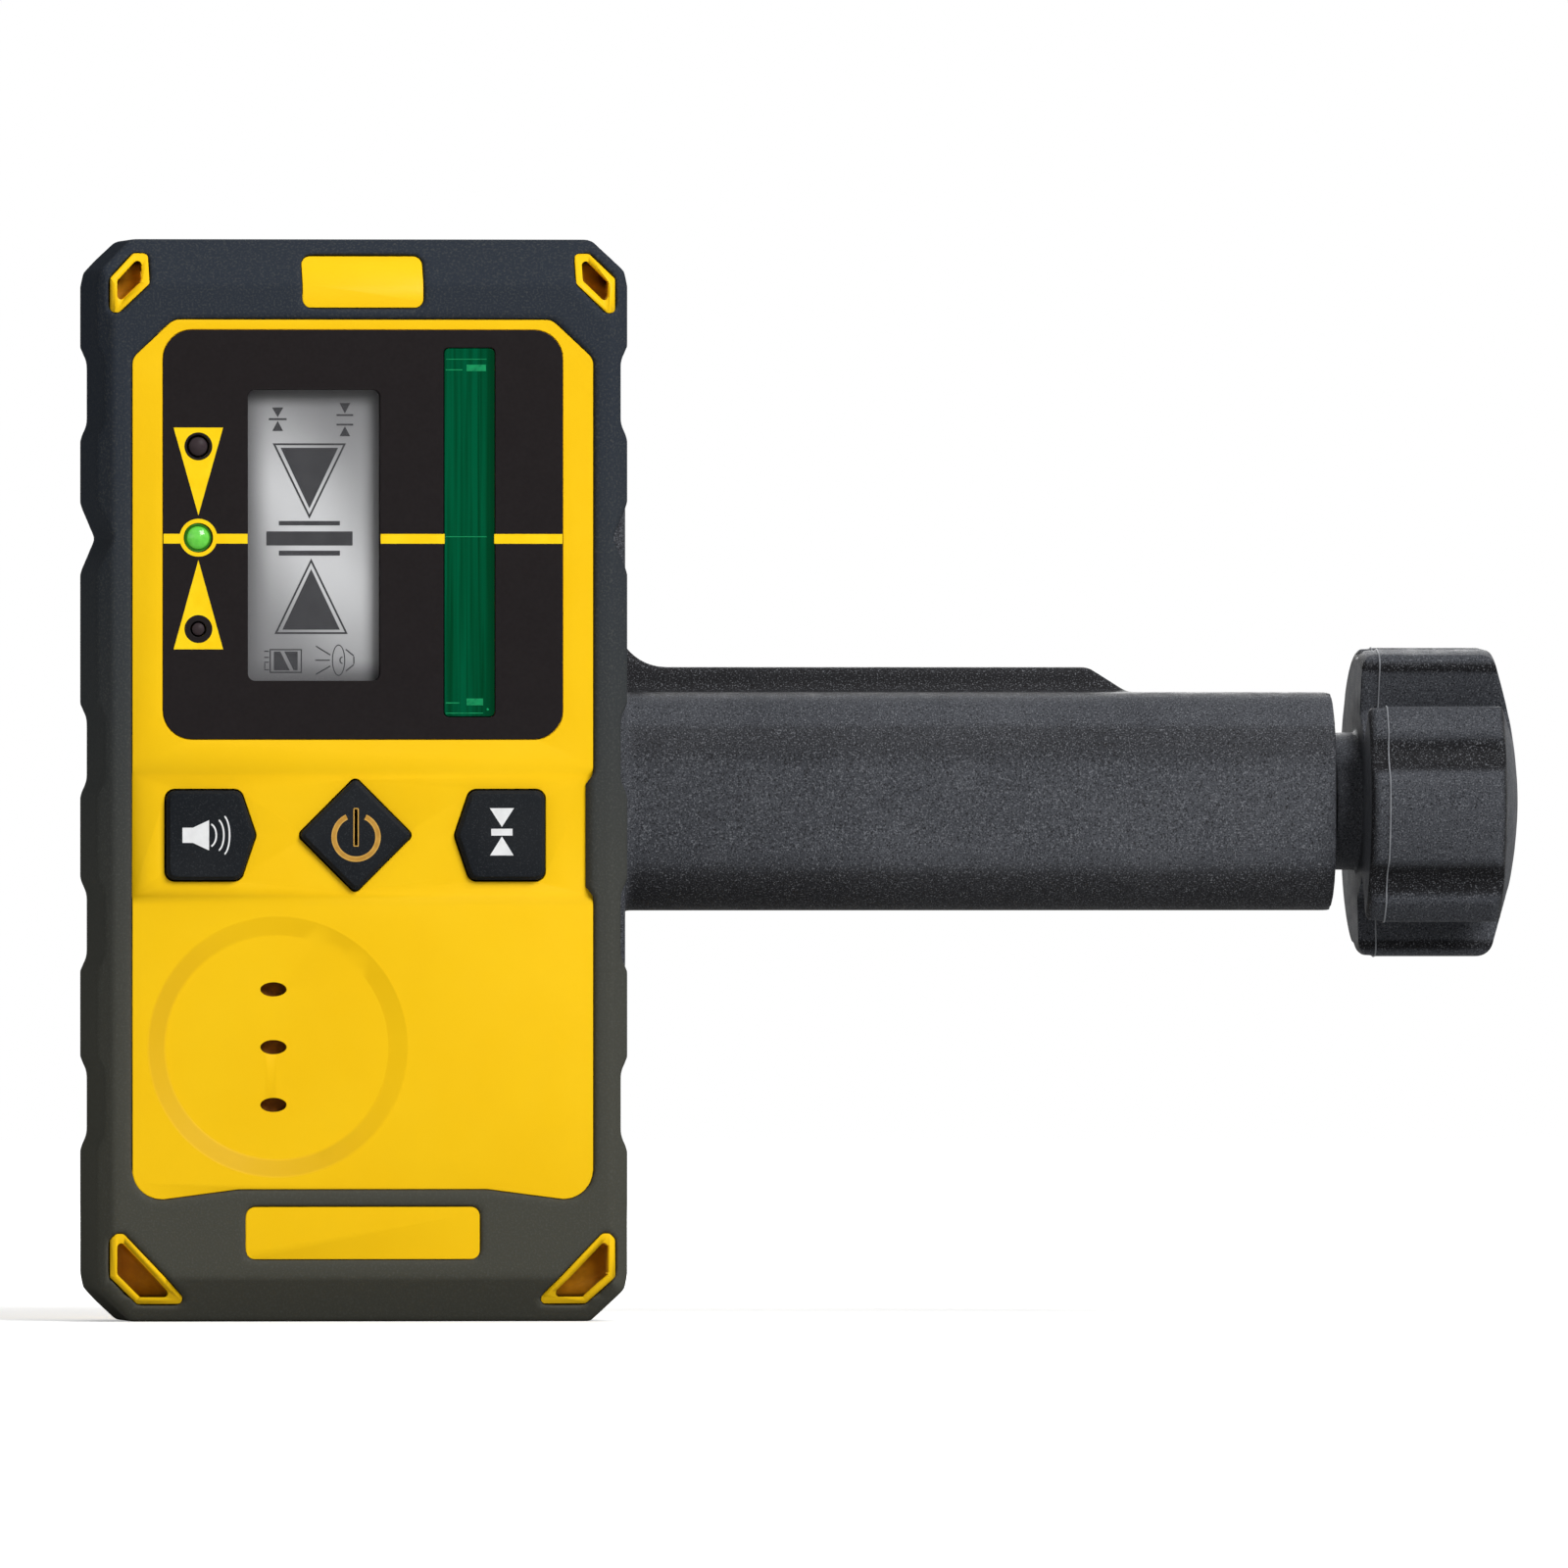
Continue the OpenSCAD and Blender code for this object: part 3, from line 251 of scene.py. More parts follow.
def yellow(name, dark_depths=False):
    """The shells' yellow. The front shell gets painted shade: amber down in its pockets and sound
    holes, and a darker tone on the dish's sloping rim; it is dark behind the printed film."""
    look = Look(name, shine=0.1)
    cloud = look.noise(14, 2)
    shade = look.mix(look.mapped(cloud, 0.3, 0.7, 0, 1), "#F9C60E", "#FBCA12")
    if dark_depths:
        # Painted shade on the dish's sloping rim
        shade = look.mix(dish_rim_shade(look), shade, "#DDAE1A")
        # Painted shade: amber down in the pockets and the sound holes
        amber_shade = look.mix(look.noise(1.6, 4), "#8F5F14", "#C98F22")
        shade = look.mix(pocket_shade_mask(look), shade, amber_shade)
        shade = look.mix(behind_film(look), shade, "#2A2627")
    look.color(shade)
    look.roughness(look.noise(3), 0.36, 0.46)
    look.bump(look.noise(0.22, 2), 0.004)
    return look.m


def pocket_shade_mask(look):
    """Painted shade: how deep a point lies in a corner pocket or in a sound hole."""
    start, end = label_front + AMBER_FROM * MM, label_front + AMBER_TO * MM
    depth = look.mapped(sunk(look), start, end, 0, 1, True)
    high = look.along("Z", POCKET_LOW * MM, (POCKET_LOW + AMBER_BORDER) * MM)
    low = look.along("Z", HOLE_TOP * MM, (HOLE_TOP - AMBER_BORDER) * MM)
    return look.product(depth, look.combine("MAXIMUM", high, low))


def behind_film(look):
    """What lies behind the display's film, between its upper and its lower edge."""
    back, inside, border = [v * MM for v in (FILM_BACK, FILM_IN, FILM_BORDER)]
    under = look.along("Y", label_front + back, label_front + back + border)
    above = look.along("Z", label_lo.z + inside, label_lo.z + inside + border)
    below = look.along("Z", label_hi.z - inside, label_hi.z - inside - border)
    return look.product(under, above, below)


def sunk(look):
    """The place along Y, less what the receiver's sloping ends lie back by themselves."""
    _, y, z = look.xyz()
    above = look.combine("SUBTRACT", z, bumper_hi.z - END_BEVEL * MM)
    below = look.combine("SUBTRACT", bumper_lo.z + END_BEVEL * MM, z)
    past = look.combine("MAXIMUM", look.combine("MAXIMUM", above, below), 0)
    return look.combine("SUBTRACT", y, look.product(past, END_SLOPE))


def dish_rim_shade(look):
    """Painted shade on the dish's sloping rim: how far a point lies on it, stronger to the lower
    left.
    """
    x, _, z = look.xyz()
    x = look.combine("SUBTRACT", x, dish_mid.x)
    z = look.combine("SUBTRACT", z, dish_mid.z)
    r = look.distance(x, z)
    floor_r = DISH_R - DISH_EDGE
    inner = look.mapped(r, (floor_r - 0.2) * MM, (floor_r + 0.4) * MM, 0, 1, True)
    outer = look.mapped(r, (DISH_R - 0.4) * MM, (DISH_R + 0.2) * MM, 1, 0, True)
    lean = look.mapped(look.combine("ADD", x, z), -14 * MM, 20 * MM, 0.75, 0, True)
    return look.product(inner, outer, lean)


METAL_SHINE = 0.5


def grained(name, low, high, spot, rough, grain, depth, metal=0.0, stretch=(1, 1, 1)):
    """A surface whose colour drifts between two tones in spots of a size, with a fine grain;
    spot, grain and the grain's depth are in millimetres."""
    look = Look(name, metal=metal, shine=METAL_SHINE if metal else 0.2)
    cloud = look.noise(spot, 3, stretch)
    look.color(look.mix(look.mapped(cloud, 0.32, 0.68, 0, 1), low, high))
    look.roughness(cloud, rough - 0.05, rough + 0.05)
    look.bump(look.noise(grain, 2, stretch), depth)
    return look.m


def moulded(name, low, high, fleck, rough, grain, depth, pit_and_shade=None, painted_shade=None):
    """Spark-textured moulding: a fine speckle of light flecks and dark pits over a slow drift.
    The optional mask says where the moulding lies deep; there it gets painted shade in the dark pit
    tone."""
    look = Look(name, shine=0.03)
    drift = look.noise(22, 2)
    speck = look.noise(grain, 3)
    base = look.mix(look.mapped(drift, 0.35, 0.65, 0, 1), low, high)
    # Painted shade where the mask says the moulding lies deep
    if painted_shade:
        base = look.mix(painted_shade(look), base, pit_and_shade)
    base = look.mix(look.mapped(speck, 0.56, 0.72, 0, 0.75), base, fleck)
    if pit_and_shade:
        base = look.mix(look.mapped(speck, 0.47, 0.3, 0, 0.95), base, pit_and_shade)
    look.color(base)
    look.roughness(look.noise(2), rough - 0.06, rough + 0.06)
    fine = look.bump(speck, depth)
    look.bump(look.noise(6, 2), depth * 2.5, fine)
    return look.m


# Depths below the circle over the knob's lobes, in millimetres: where the painted shade in a flute
# starts and is full, and where it fades out and is gone at the neck
FLUTE_FROM = 0.25
FLUTE_FULL = 1.1
NECK_FROM = 1.6
NECK_FULL = 2.4


def flute_shade(look):
    """Painted shade in the knob's flutes: how far a point lies below the circle over its lobes, down
    to its neck.
    """
    _, y, z = look.xyz()
    y = look.combine("SUBTRACT", y, axis_y)
    z = look.combine("SUBTRACT", z, axis_z)
    r = look.distance(y, z)
    below = look.mapped(r, knob_r - FLUTE_FROM * MM, knob_r - FLUTE_FULL * MM, 0, 0.85, True)
    not_neck = look.mapped(r, knob_r - NECK_FULL * MM, knob_r - NECK_FROM * MM, 0, 1, True)
    return look.product(below, not_neck)


# Where the arm gets painted shade, as heights over its axis in millimetres: where each band starts
# and is full
RIB = (14.4, 15.2)
BELOW_TOP = (11.2, 9.8)
ABOVE_MIDDLE = (4, 8)
FOOT = (-8, -10.8)


def arm_painted_shade(look):
    """Where the arm gets painted shade: its rib, a band below its top round, and its foot."""
    up = look.combine("SUBTRACT", look.xyz()[2], axis_z)

    def zone(span, depth):
        return look.mapped(up, span[0] * MM, span[1] * MM, 0, depth, True)

    top = look.combine("MINIMUM", zone(BELOW_TOP, 0.42), zone(ABOVE_MIDDLE, 0.42))
    front = look.along("Y", axis_y + 2 * MM, axis_y - 3 * MM)
    rounds = look.product(front, look.combine("MAXIMUM", top, zone(FOOT, 0.6)))
    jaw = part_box("fixed_jaw_pad")[1].x
    past_jaw = look.along("X", jaw - 3 * MM, jaw)
    return look.product(past_jaw, look.combine("MAXIMUM", zone(RIB, 0.75), rounds))


def rubber():
    """The sleeve, with painted shading: darker and cooler towards the top, lighter and warmer
    towards the bottom; with a dull grain.
    """
    look = Look("bumper_rubber", shine=0.0)
    # Painted shading: lighter and warmer low down, darker and cooler high up
    height = look.along("Z", bumper_lo.z + 20 * MM, bumper_hi.z - 15 * MM)
    base = look.mix(height, "#4A4A43", "#30353D")
    speck = look.noise(0.3, 3)
    look.color(look.mix(look.mapped(speck, 0.5, 0.8, 0, 0.5), base, "#5B5C58"))
    look.roughness(look.noise(2.5), 0.68, 0.8)
    fine = look.bump(speck, 0.02)
    look.bump(look.noise(5, 2), 0.03, fine)
    return look.m


def film():
    """The display's printed film: near black, with a fine tooth."""
    look = Look("label_film", shine=0.08)
    look.color(look.mix(look.noise(0.5, 2), "#1A1617", "#211D1E"))
    look.roughness(look.noise(4), 0.32, 0.42)
    look.bump(look.noise(0.35, 2), 0.002)
    return look.m


def clear():
    """The display's clear window, which only tints what lies behind it."""
    look = Look("clear_window", rough=0.04, shine=0.5)
    look.bsdf.inputs["Alpha"].default_value = 0.05
    look.color(look.mix(look.noise(8), "#0C0D0D", "#151616"))
    return look.m


# How far the painted reflection on the display, a light ridge, leans: sideways for each millimetre
# of height
RIDGE_LEAN = 0.5


def display():
    """Reflective glass with painted light: a painted reflection as a light ridge that leans across
    it, and painted shadow darker towards its ends and edges.
    """
    look = Look("lcd_panel", shine=0.1)
    lo = lens_lo + Vector((LENS_LIP, 0, LENS_LIP))
    hi = lens_hi - Vector((LENS_LIP, 0, LENS_LIP))
    x, _, z = look.xyz()
    off = look.combine("SUBTRACT", x, (lo.x + hi.x) / 2)
    leant = look.combine("ADD", off, look.product(z, RIDGE_LEAN))
    # Painted reflection: a light ridge leaning across the display
    painted_reflection = look.mapped(look.combine("ABSOLUTE", leant), 1 * MM, 12 * MM, 1, 0.4, True)
    # Painted shadow of the window's frame towards the display's ends and edges
    edges = ((x, lo.x - 0.7 * MM, lo.x + 3.8 * MM, 0), (x, hi.x + 3 * MM, hi.x - 1.5 * MM, 0),
             (z, hi.z + 1 * MM, hi.z - 15 * MM, 0.3), (z, hi.z, hi.z - 2.6 * MM, 0),
             (z, lo.z, lo.z + 16 * MM, 0.45), (z, lo.z, lo.z + 3.4 * MM, 0))
    light = look.product(painted_reflection, *[look.mapped(value, start, end, low, 1, True)
                                  for value, start, end, low in edges])
    look.color(look.mix(light, "#757577", "#E0E1E3"))
    look.roughness(look.noise(6), 0.28, 0.36)
    look.bump(look.noise(0.2, 1), 0.0005)
    return look.m


def filter_green():
    """The sensor's green filter, with streaks along it and a darker right side."""
    look = Look("green_filter", shine=0.015)
    streak = look.noise(0.55, 2, (1, 1, 60))
    side = look.along("X", window_hi.x - 2.6 * MM, window_hi.x - 1.1 * MM)
    glow = look.mix(look.mapped(streak, 0.35, 0.65, 0, 1), "#003F23", "#005737")
    look.color(look.mix(side, glow, "#00391E"))
    look.roughness(look.noise(3), 0.1, 0.16)
    look.bump(streak, 0.004)
    return look.m


# The distance between the board's traces, in millimetres
TRACE_STEP = 2.2


def circuit():
    """Solder mask over a mesh of traces and small pads."""
    look = Look("board_green", coat=0.2)
    traces = look.node("ShaderNodeTexBrick")
    traces.inputs["Scale"].default_value = 1000 / TRACE_STEP
    traces.inputs["Mortar Size"].default_value = 0.06
    swing = look.node("ShaderNodeMapping")
    swing.inputs["Rotation"].default_value = (math.radians(90), 0, 0)
    look.link(look.place, swing.inputs["Vector"])
    look.link(swing.outputs["Vector"], traces.inputs["Vector"])
    mask = look.mix(look.noise(12), "#174C31", "#1E5E3C")
    look.color(look.mix(traces.outputs["Fac"], mask, "#3C8A5B"))
    look.roughness(look.noise(2), 0.3, 0.4)
    look.bump(traces.outputs["Fac"], 0.03)
    return look.m


def lamp_green():
    """The on-grade light, which glows a little."""
    look = Look("grade_light", rough=0.12, coat=0.7)
    look.color(look.mix(look.noise(0.8), "#3FA82C", "#77D94E"))
    look.link(look.mix(look.noise(1.2), "#2E9A1E", "#5FC13E"), look.bsdf.inputs["Emission Color"])
    look.bsdf.inputs["Emission Strength"].default_value = 0.35
    look.bump(look.noise(0.6, 1), 0.002)
    return look.m


def lamp_dark():
    """A direction light that is off."""
    look = Look("dark_light", rough=0.35, shine=0.05)
    look.color(look.mix(look.noise(0.9), "#352C2E", "#40373A"))
    look.bump(look.noise(0.5, 1), 0.002)
    return look.m


# A cell's bare ends, its coloured ring from there on, and how sharp their borders are
CELL_BARE = 2.9 * MM
CELL_RING = 14 * MM
CELL_LINE = 0.1 * MM


def cell_wrap():
    """A plain wrapped cell: bare metal at both ends, a jacket with one coloured ring."""
    look = Look("cell_jacket")
    lo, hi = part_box("battery_upper")
    reach = (hi.x - lo.x) / 2
    centre = (lo.x + hi.x) / 2
    off = look.combine("ABSOLUTE", look.combine("SUBTRACT", look.xyz()[0], centre))
    metal = look.mapped(off, reach - CELL_BARE, reach - CELL_BARE + CELL_LINE, 0, 1)
    ring = look.mapped(off, reach - CELL_RING, reach - CELL_RING + CELL_LINE, 0, 1)
    jacket = look.mix(ring, look.mix(look.noise(9), "#C6C9CD", "#D2D5D8"), "#2F5E8C")
    look.color(look.mix(metal, jacket, "#B4B6B8"))
    look.link(metal, look.bsdf.inputs["Metallic"])
    look.roughness(look.noise(4), 0.28, 0.38)
    look.bump(look.noise(0.8), 0.004)
    return look.m


def turned(name, low, high, rough, axis):
    """Turned metal, with fine rings round its axis."""
    look = Look(name, metal=1.0, shine=METAL_SHINE)
    stretch = [12, 12, 12]
    stretch["XYZ".index(axis)] = 0.5
    rings = look.noise(0.5, 3, tuple(stretch))
    look.color(look.mix(rings, low, high))
    look.roughness(rings, rough - 0.07, rough + 0.1)
    look.bump(rings, 0.006)
    return look.m


mats = {
    "yellow_shell": yellow("yellow_shell"),
    "yellow_front": yellow("yellow_front", True),
    "bumper_rubber": rubber(),
    "label_film": film(),
    "clear_window": clear(),
    "lcd_panel": display(),
    "zebra_rubber": grained("zebra_rubber", "#5F6368", "#777C81", 0.4, 0.7, 0.3, 0.02,
                            stretch=(6, 6, 1)),
    "green_filter": filter_green(),
    "board_green": circuit(),
    "grade_light": lamp_green(),
    "dark_light": lamp_dark(),
    "component_black": grained("component_black", "#1B1D20", "#26292C", 2.5, 0.5, 0.2, 0.006),
    "key_rubber": moulded("key_rubber", "#1A1D21", "#25272A", "#3A3D40", 0.45, 0.16, 0.006),
    "membrane_brown": grained("membrane_brown", "#6B3F12", "#9A5F1E", 1.1, 0.8, 0.3, 0.02),
    "seal_rubber": grained("seal_rubber", "#17191B", "#202224", 2, 0.75, 0.3, 0.02),
    "steel": grained("steel", "#A9ABAE", "#C4C6C8", 1.6, 0.3, 0.25, 0.004, metal=1.0),
    "screw_steel": turned("screw_steel", "#8E9196", "#B3B6BA", 0.34, "X"),
    "brass": turned("brass", "#A8853C", "#C9A659", 0.32, "X"),
    "cell_jacket": cell_wrap(),
    # The clamp's nylon gets painted shade on its rib, below its top round and at its foot
    "clamp_nylon": moulded("clamp_nylon", "#424449", "#4B4D52", "#85878C", 0.5, 0.2, 0.03, "#1A1818",
                           arm_painted_shade),
    # The knob's nylon gets painted shade in its flutes
    "knob_nylon": moulded("knob_nylon", "#404247", "#484A4F", "#7E8085", 0.45, 0.2, 0.03, "#141314",
                          flute_shade),
    # The mould line is a real ridge; its light grey is a painted highlight
    "flash_line": grained("flash_line", "#77797E", "#8A8C91", 1, 0.5, 0.3, 0.002),
    "ink_gold_edge": grained("ink_gold_edge", "#CC9C46", "#D8AB55", 1, 0.4, 0.2, 0.001),
    "pad_rubber": grained("pad_rubber", "#1A1B1D", "#26272A", 1.2, 0.8, 0.35, 0.04),
    "ink_yellow": grained("ink_yellow", "#FFD200", "#FFD90A", 2, 0.4, 0.3, 0.001),
    "ink_white": grained("ink_white", "#E4E5E6", "#EDEEEF", 1, 0.45, 0.2, 0.001),
    "ink_gold": grained("ink_gold", "#B38233", "#C4933F", 1, 0.4, 0.2, 0.001),
    "segment": grained("segment", "#414144", "#48484B", 2, 0.4, 0.3, 0.0005),
    # Painted highlights inside the green filter
    "filter_light": grained("filter_light", "#007A4B", "#069258", 0.8, 0.3, 0.3, 0.001),
}
# The slot of each finish that isn't a slot of its own
slot_of = {}
for part in frame["record"]["subparts"]:
    node = frame["nodes"][part["node"]]
    node.data.materials.clear()
    node.data.materials.append(mats[part["material_slot"]])
    slot_of[part["node"]] = part["material_slot"]
frame["nodes"]["sound_membrane"].data.materials[0] = mats["membrane_brown"]
# The body of each node that doesn't stay with the receiver
MOVING = {
    "key_volume": "volume_key", "key_power": "power_key", "key_accuracy": "accuracy_key",
    "battery_door": "battery_cover", "lead_screw": "clamp_screw", "knob": "clamp_screw",
    "knob_screw": "clamp_screw", "knob_cap": "clamp_screw", "moving_jaw": "sliding_jaw",
    "moving_jaw_pad": "sliding_jaw", "jaw_nut": "sliding_jaw", "thumbscrew": "fixing_screw",
    "thumbscrew_stud": "fixing_screw",
}


# Pieces


def place(name, mesh, look, body="receiver"):
    """A finished mesh as a piece that rides on a body."""
    mesh.materials.clear()
    mesh.materials.append(mats[look])
    o = bpy.data.objects.new(name, mesh)
    bpy.context.scene.collection.objects.link(o)
    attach(o, body)
    return o


def stand_in(node, mesh, look=None):
    """A mesh that stands for a CAD node, with its body and its finish."""
    o = place(node + "_form", mesh, look or slot_of[node], MOVING.get(node, "receiver"))
    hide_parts(node)
    return o


def welded(node):
    """The node's own faces as one closed mesh, with its flat faces whole again."""
    bm = bmesh.new()
    bm.from_mesh(frame["nodes"][node].data)
    bmesh.ops.remove_doubles(bm, verts=bm.verts, dist=1e-6)
    bmesh.ops.dissolve_limit(bm, angle_limit=math.radians(0.5), verts=bm.verts, edges=bm.edges)
    bm.edges.index_update()
    return bm


def baked(mesh, *modifiers):
    """The mesh after these modifiers, each a kind with its settings."""
    o = bpy.data.objects.new("work", mesh)
    bpy.context.scene.collection.objects.link(o)
    for kind, settings in modifiers:
        modifier = o.modifiers.new(kind.lower(), kind)
        for key, value in settings.items():
            setattr(modifier, key, value)
    graph = bpy.context.evaluated_depsgraph_get()
    result = bpy.data.meshes.new_from_object(o.evaluated_get(graph))
    bpy.data.objects.remove(o)
    return result


WEIGHTED = ("WEIGHTED_NORMAL", {"keep_sharp": True, "weight": 60})
SHARP = ("EDGE_SPLIT", {"split_angle": math.radians(40)})
# Edges over the first angle are broken; softer ones, down to the second, stay crisp beside
# a face larger than this many square metres
BREAK_ANGLE = math.radians(35)
SOFT_ANGLE = math.radians(5)
LARGE_FLAT = 50e-6
# How often a break is tried, and how many widths its edges stay clear of the last try's crossings
BREAK_TRIES = 6
BREAK_CLEAR = 2.5


def as_mesh(bm, name, smooth=True):
    for face in bm.faces:
        face.smooth = smooth
    mesh = bpy.data.meshes.new(name)
    bm.to_mesh(mesh)
    bm.free()
    return mesh


def crossings(bm):
    """The middles of faces that run through each other."""
    whole = bm.copy()
    bmesh.ops.triangulate(whole, faces=whole.faces)
    whole.faces.ensure_lookup_table()
    tree = BVHTree.FromBMesh(whole, epsilon=0)
    spots = []
    for a, b in tree.overlap(tree):
        one, other = whole.faces[a], whole.faces[b]
        if a < b and not set(one.verts) & set(other.verts):
            spots += [one.calc_center_median(), other.calc_center_median()]
    whole.free()
    return spots


def broken(node, width, rounds=2, look=None):
    """The node with its sharp edges broken by a small round of that width, in millimetres,
    apart from those without the room for it."""
    base = welded(node)
    kept = []
    for edge in base.edges:
        if len(edge.link_faces) != 2:
            continue
        turn = edge.calc_face_angle(0)
        if turn > BREAK_ANGLE:
            kept.append(edge.index)
        elif SOFT_ANGLE < turn < BREAK_ANGLE:
            edge.smooth = max(face.calc_area() for face in edge.link_faces) < LARGE_FLAT
    for _ in range(BREAK_TRIES):
        bm = base.copy()
        bm.edges.ensure_lookup_table()
        bmesh.ops.bevel(bm, geom=[bm.edges[i] for i in kept], offset=width * MM, segments=rounds,
                        profile=0.5, affect="EDGES", miter_outer="ARC", clamp_overlap=False)
        spots = crossings(bm)
        if not spots:
            break
        bm.free()
        near = KDTree(len(spots))
        for i, spot in enumerate(spots):
            near.insert(spot, i)
        near.balance()
        base.edges.ensure_lookup_table()
        kept = [i for i in kept if apart(base.edges[i], near) > BREAK_CLEAR * width * MM]
    else:
        bm = base.copy()
    base.free()
    return stand_in(node, baked(as_mesh(bm, node), WEIGHTED), look)


def apart(edge, near):
    """How far an edge's ends and its middle stay from the nearest of those spots."""
    a, b = [v.co for v in edge.verts]
    return min(near.find(spot)[2] for spot in (a, b, (a + b) / 2))


def softened(node, voxel, rounds, look=None):
    """The node as a soft moulding: every edge worn round, its flats left flat. The voxels are
    in millimetres; more rounds wear the edges more."""
    remesh = ("REMESH", {"mode": "VOXEL", "voxel_size": voxel * MM, "use_smooth_shade": True})
    smooth = ("SMOOTH", {"factor": 0.5, "iterations": rounds})
    planar = ("DECIMATE", {"decimate_type": "DISSOLVE", "angle_limit": math.radians(0.6)})
    return stand_in(node, baked(as_mesh(welded(node), node), remesh, smooth, planar, WEIGHTED), look)


# The line that the mould leaves on the knob: how far in from the cap's face, and how fine
CAP_TO_SEAM = 19.65 * MM
SEAM_R = 0.12 * MM
SEAM_STEP = 0.6 * MM


def knob_seam():
    """The fine ridge that the mould leaves round the lobes, near the knob's inner end, coloured
    lighter than the knob as a painted highlight.
    """
    bm = welded("knob")
    at = Vector((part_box("knob_cap")[1].x - CAP_TO_SEAM, 0, 0))
    whole = bm.verts[:] + bm.edges[:] + bm.faces[:]
    cut = bmesh.ops.bisect_plane(bm, geom=whole, dist=1e-7, plane_co=at, plane_no=(1, 0, 0))
    edges = {e for e in cut["geom_cut"] if isinstance(e, bmesh.types.BMEdge)}
    loops = []
    while edges:
        first = min(edges, key=lambda e: e.index)
        edges.discard(first)
        start, here = first.verts
        path = [start.co.copy(), here.co.copy()]
        while here is not start:
            following = next((e for e in here.link_edges if e in edges), None)
            if following is None:
                break
            edges.discard(following)
            here = following.other_vert(here)
            path.append(here.co.copy())
        loops.append(path[:-1] if here is start else path)
    bm.free()
    outer = max(loops, key=lambda path: sum((b - a).length for a, b in zip(path, path[1:])))
    line = wire(evened(outer, SEAM_STEP), SEAM_R, 6, True)
    place("knob_flash", as_mesh(line, "flash"), "flash_line", "clamp_screw")


def evened(path, step):
    """Points at even steps along a closed path."""
    closed = path + path[:1]
    lengths = [0.0]
    for a, b in zip(closed, closed[1:]):
        lengths.append(lengths[-1] + (b - a).length)
    count = max(8, round(lengths[-1] / step))
    points = []
    k = 0
    for i in range(count):
        want = lengths[-1] * i / count
        while lengths[k + 1] < want:
            k += 1
        share = (want - lengths[k]) / max(lengths[k + 1] - lengths[k], 1e-12)
        points.append(closed[k].lerp(closed[k + 1], share))
    return points


def turned_mesh(stations, steps, wave):
    """A lathe form along X, from stations (x, r); wave adds to r by x and angle."""
    bm = bmesh.new()
    rings = []
    for x, r in stations:
        ring = []
        for i in range(steps):
            a = 2 * math.pi * i / steps
            reach = r + wave(x, a)
            ring.append(bm.verts.new((x, reach * math.cos(a), reach * math.sin(a))))
        rings.append(ring)
    for near, far in zip(rings, rings[1:]):
        for i in range(steps):
            j = (i + 1) % steps
            bm.faces.new((near[i], near[j], far[j], far[i]))
    bm.faces.new(rings[0][::-1])
    bm.faces.new(rings[-1])
    bmesh.ops.recalc_face_normals(bm, faces=bm.faces)
    return bm


# Printed signs, in millimetres from the receiver's middle and its on-grade line


def circle(x, z, r, steps=48, stretch=1.0):
    turns = [2 * math.pi * i / steps for i in range(steps)]
    return [(x + r * math.cos(a), z + r * stretch * math.sin(a)) for a in turns]


def bar(x0, x1, z0, z1):
    return [(x0, z0), (x1, z0), (x1, z1), (x0, z1)]


def wedge(x, half, flat_z, tip_z):
    """A triangle with its flat side at one height and its tip at another."""
    return [(x - half, flat_z), (x + half, flat_z), (x, tip_z)]


def stroke(start, end, width):
    """A straight line of some width."""
    a = Vector(start)
    b = Vector(end)
    side = Vector((a.y - b.y, b.x - a.x)).normalized() * width / 2
    return [tuple(v) for v in (a + side, b + side, b - side, a - side)]


def sweep(x, z, rx, rz, start, end, width, steps=20):
    """A curved line of some width: part of an ellipse, between two angles in degrees."""
    turns = [math.radians(start + (end - start) * i / steps) for i in range(steps + 1)]
    outer = [(x + (rx + width / 2) * math.cos(a), z + (rz + width / 2) * math.sin(a)) for a in turns]
    inner = [(x + (rx - width / 2) * math.cos(a), z + (rz - width / 2) * math.sin(a)) for a in turns]
    return outer + inner[::-1]


def rim(points, width):
    """A closed outline as a line of some width: the outline and one drawn in from it."""
    loop = [Vector(p) for p in points]
    winding = sum(a.x * b.y - b.x * a.y for a, b in zip(loop, loop[1:] + loop[:1]))
    if winding < 0:
        loop.reverse()
    inner = []
    for before, here, after in zip(loop[-1:] + loop[:-1], loop, loop[1:] + loop[:1]):
        into = (here - before).normalized()
        out = (after - here).normalized()
        n1 = Vector((-into.y, into.x))
        n2 = Vector((-out.y, out.x))
        inner.append(tuple(here + (n1 + n2) * width / (1 + n1.dot(n2))))
    return [[tuple(p) for p in loop], inner]


# How thick the ink is, in millimetres, and how much of it stands out of the face
INK = 0.03
INK_OUT = 0.3
# Ink that lies over other ink is thicker by this
OVER = 1.4


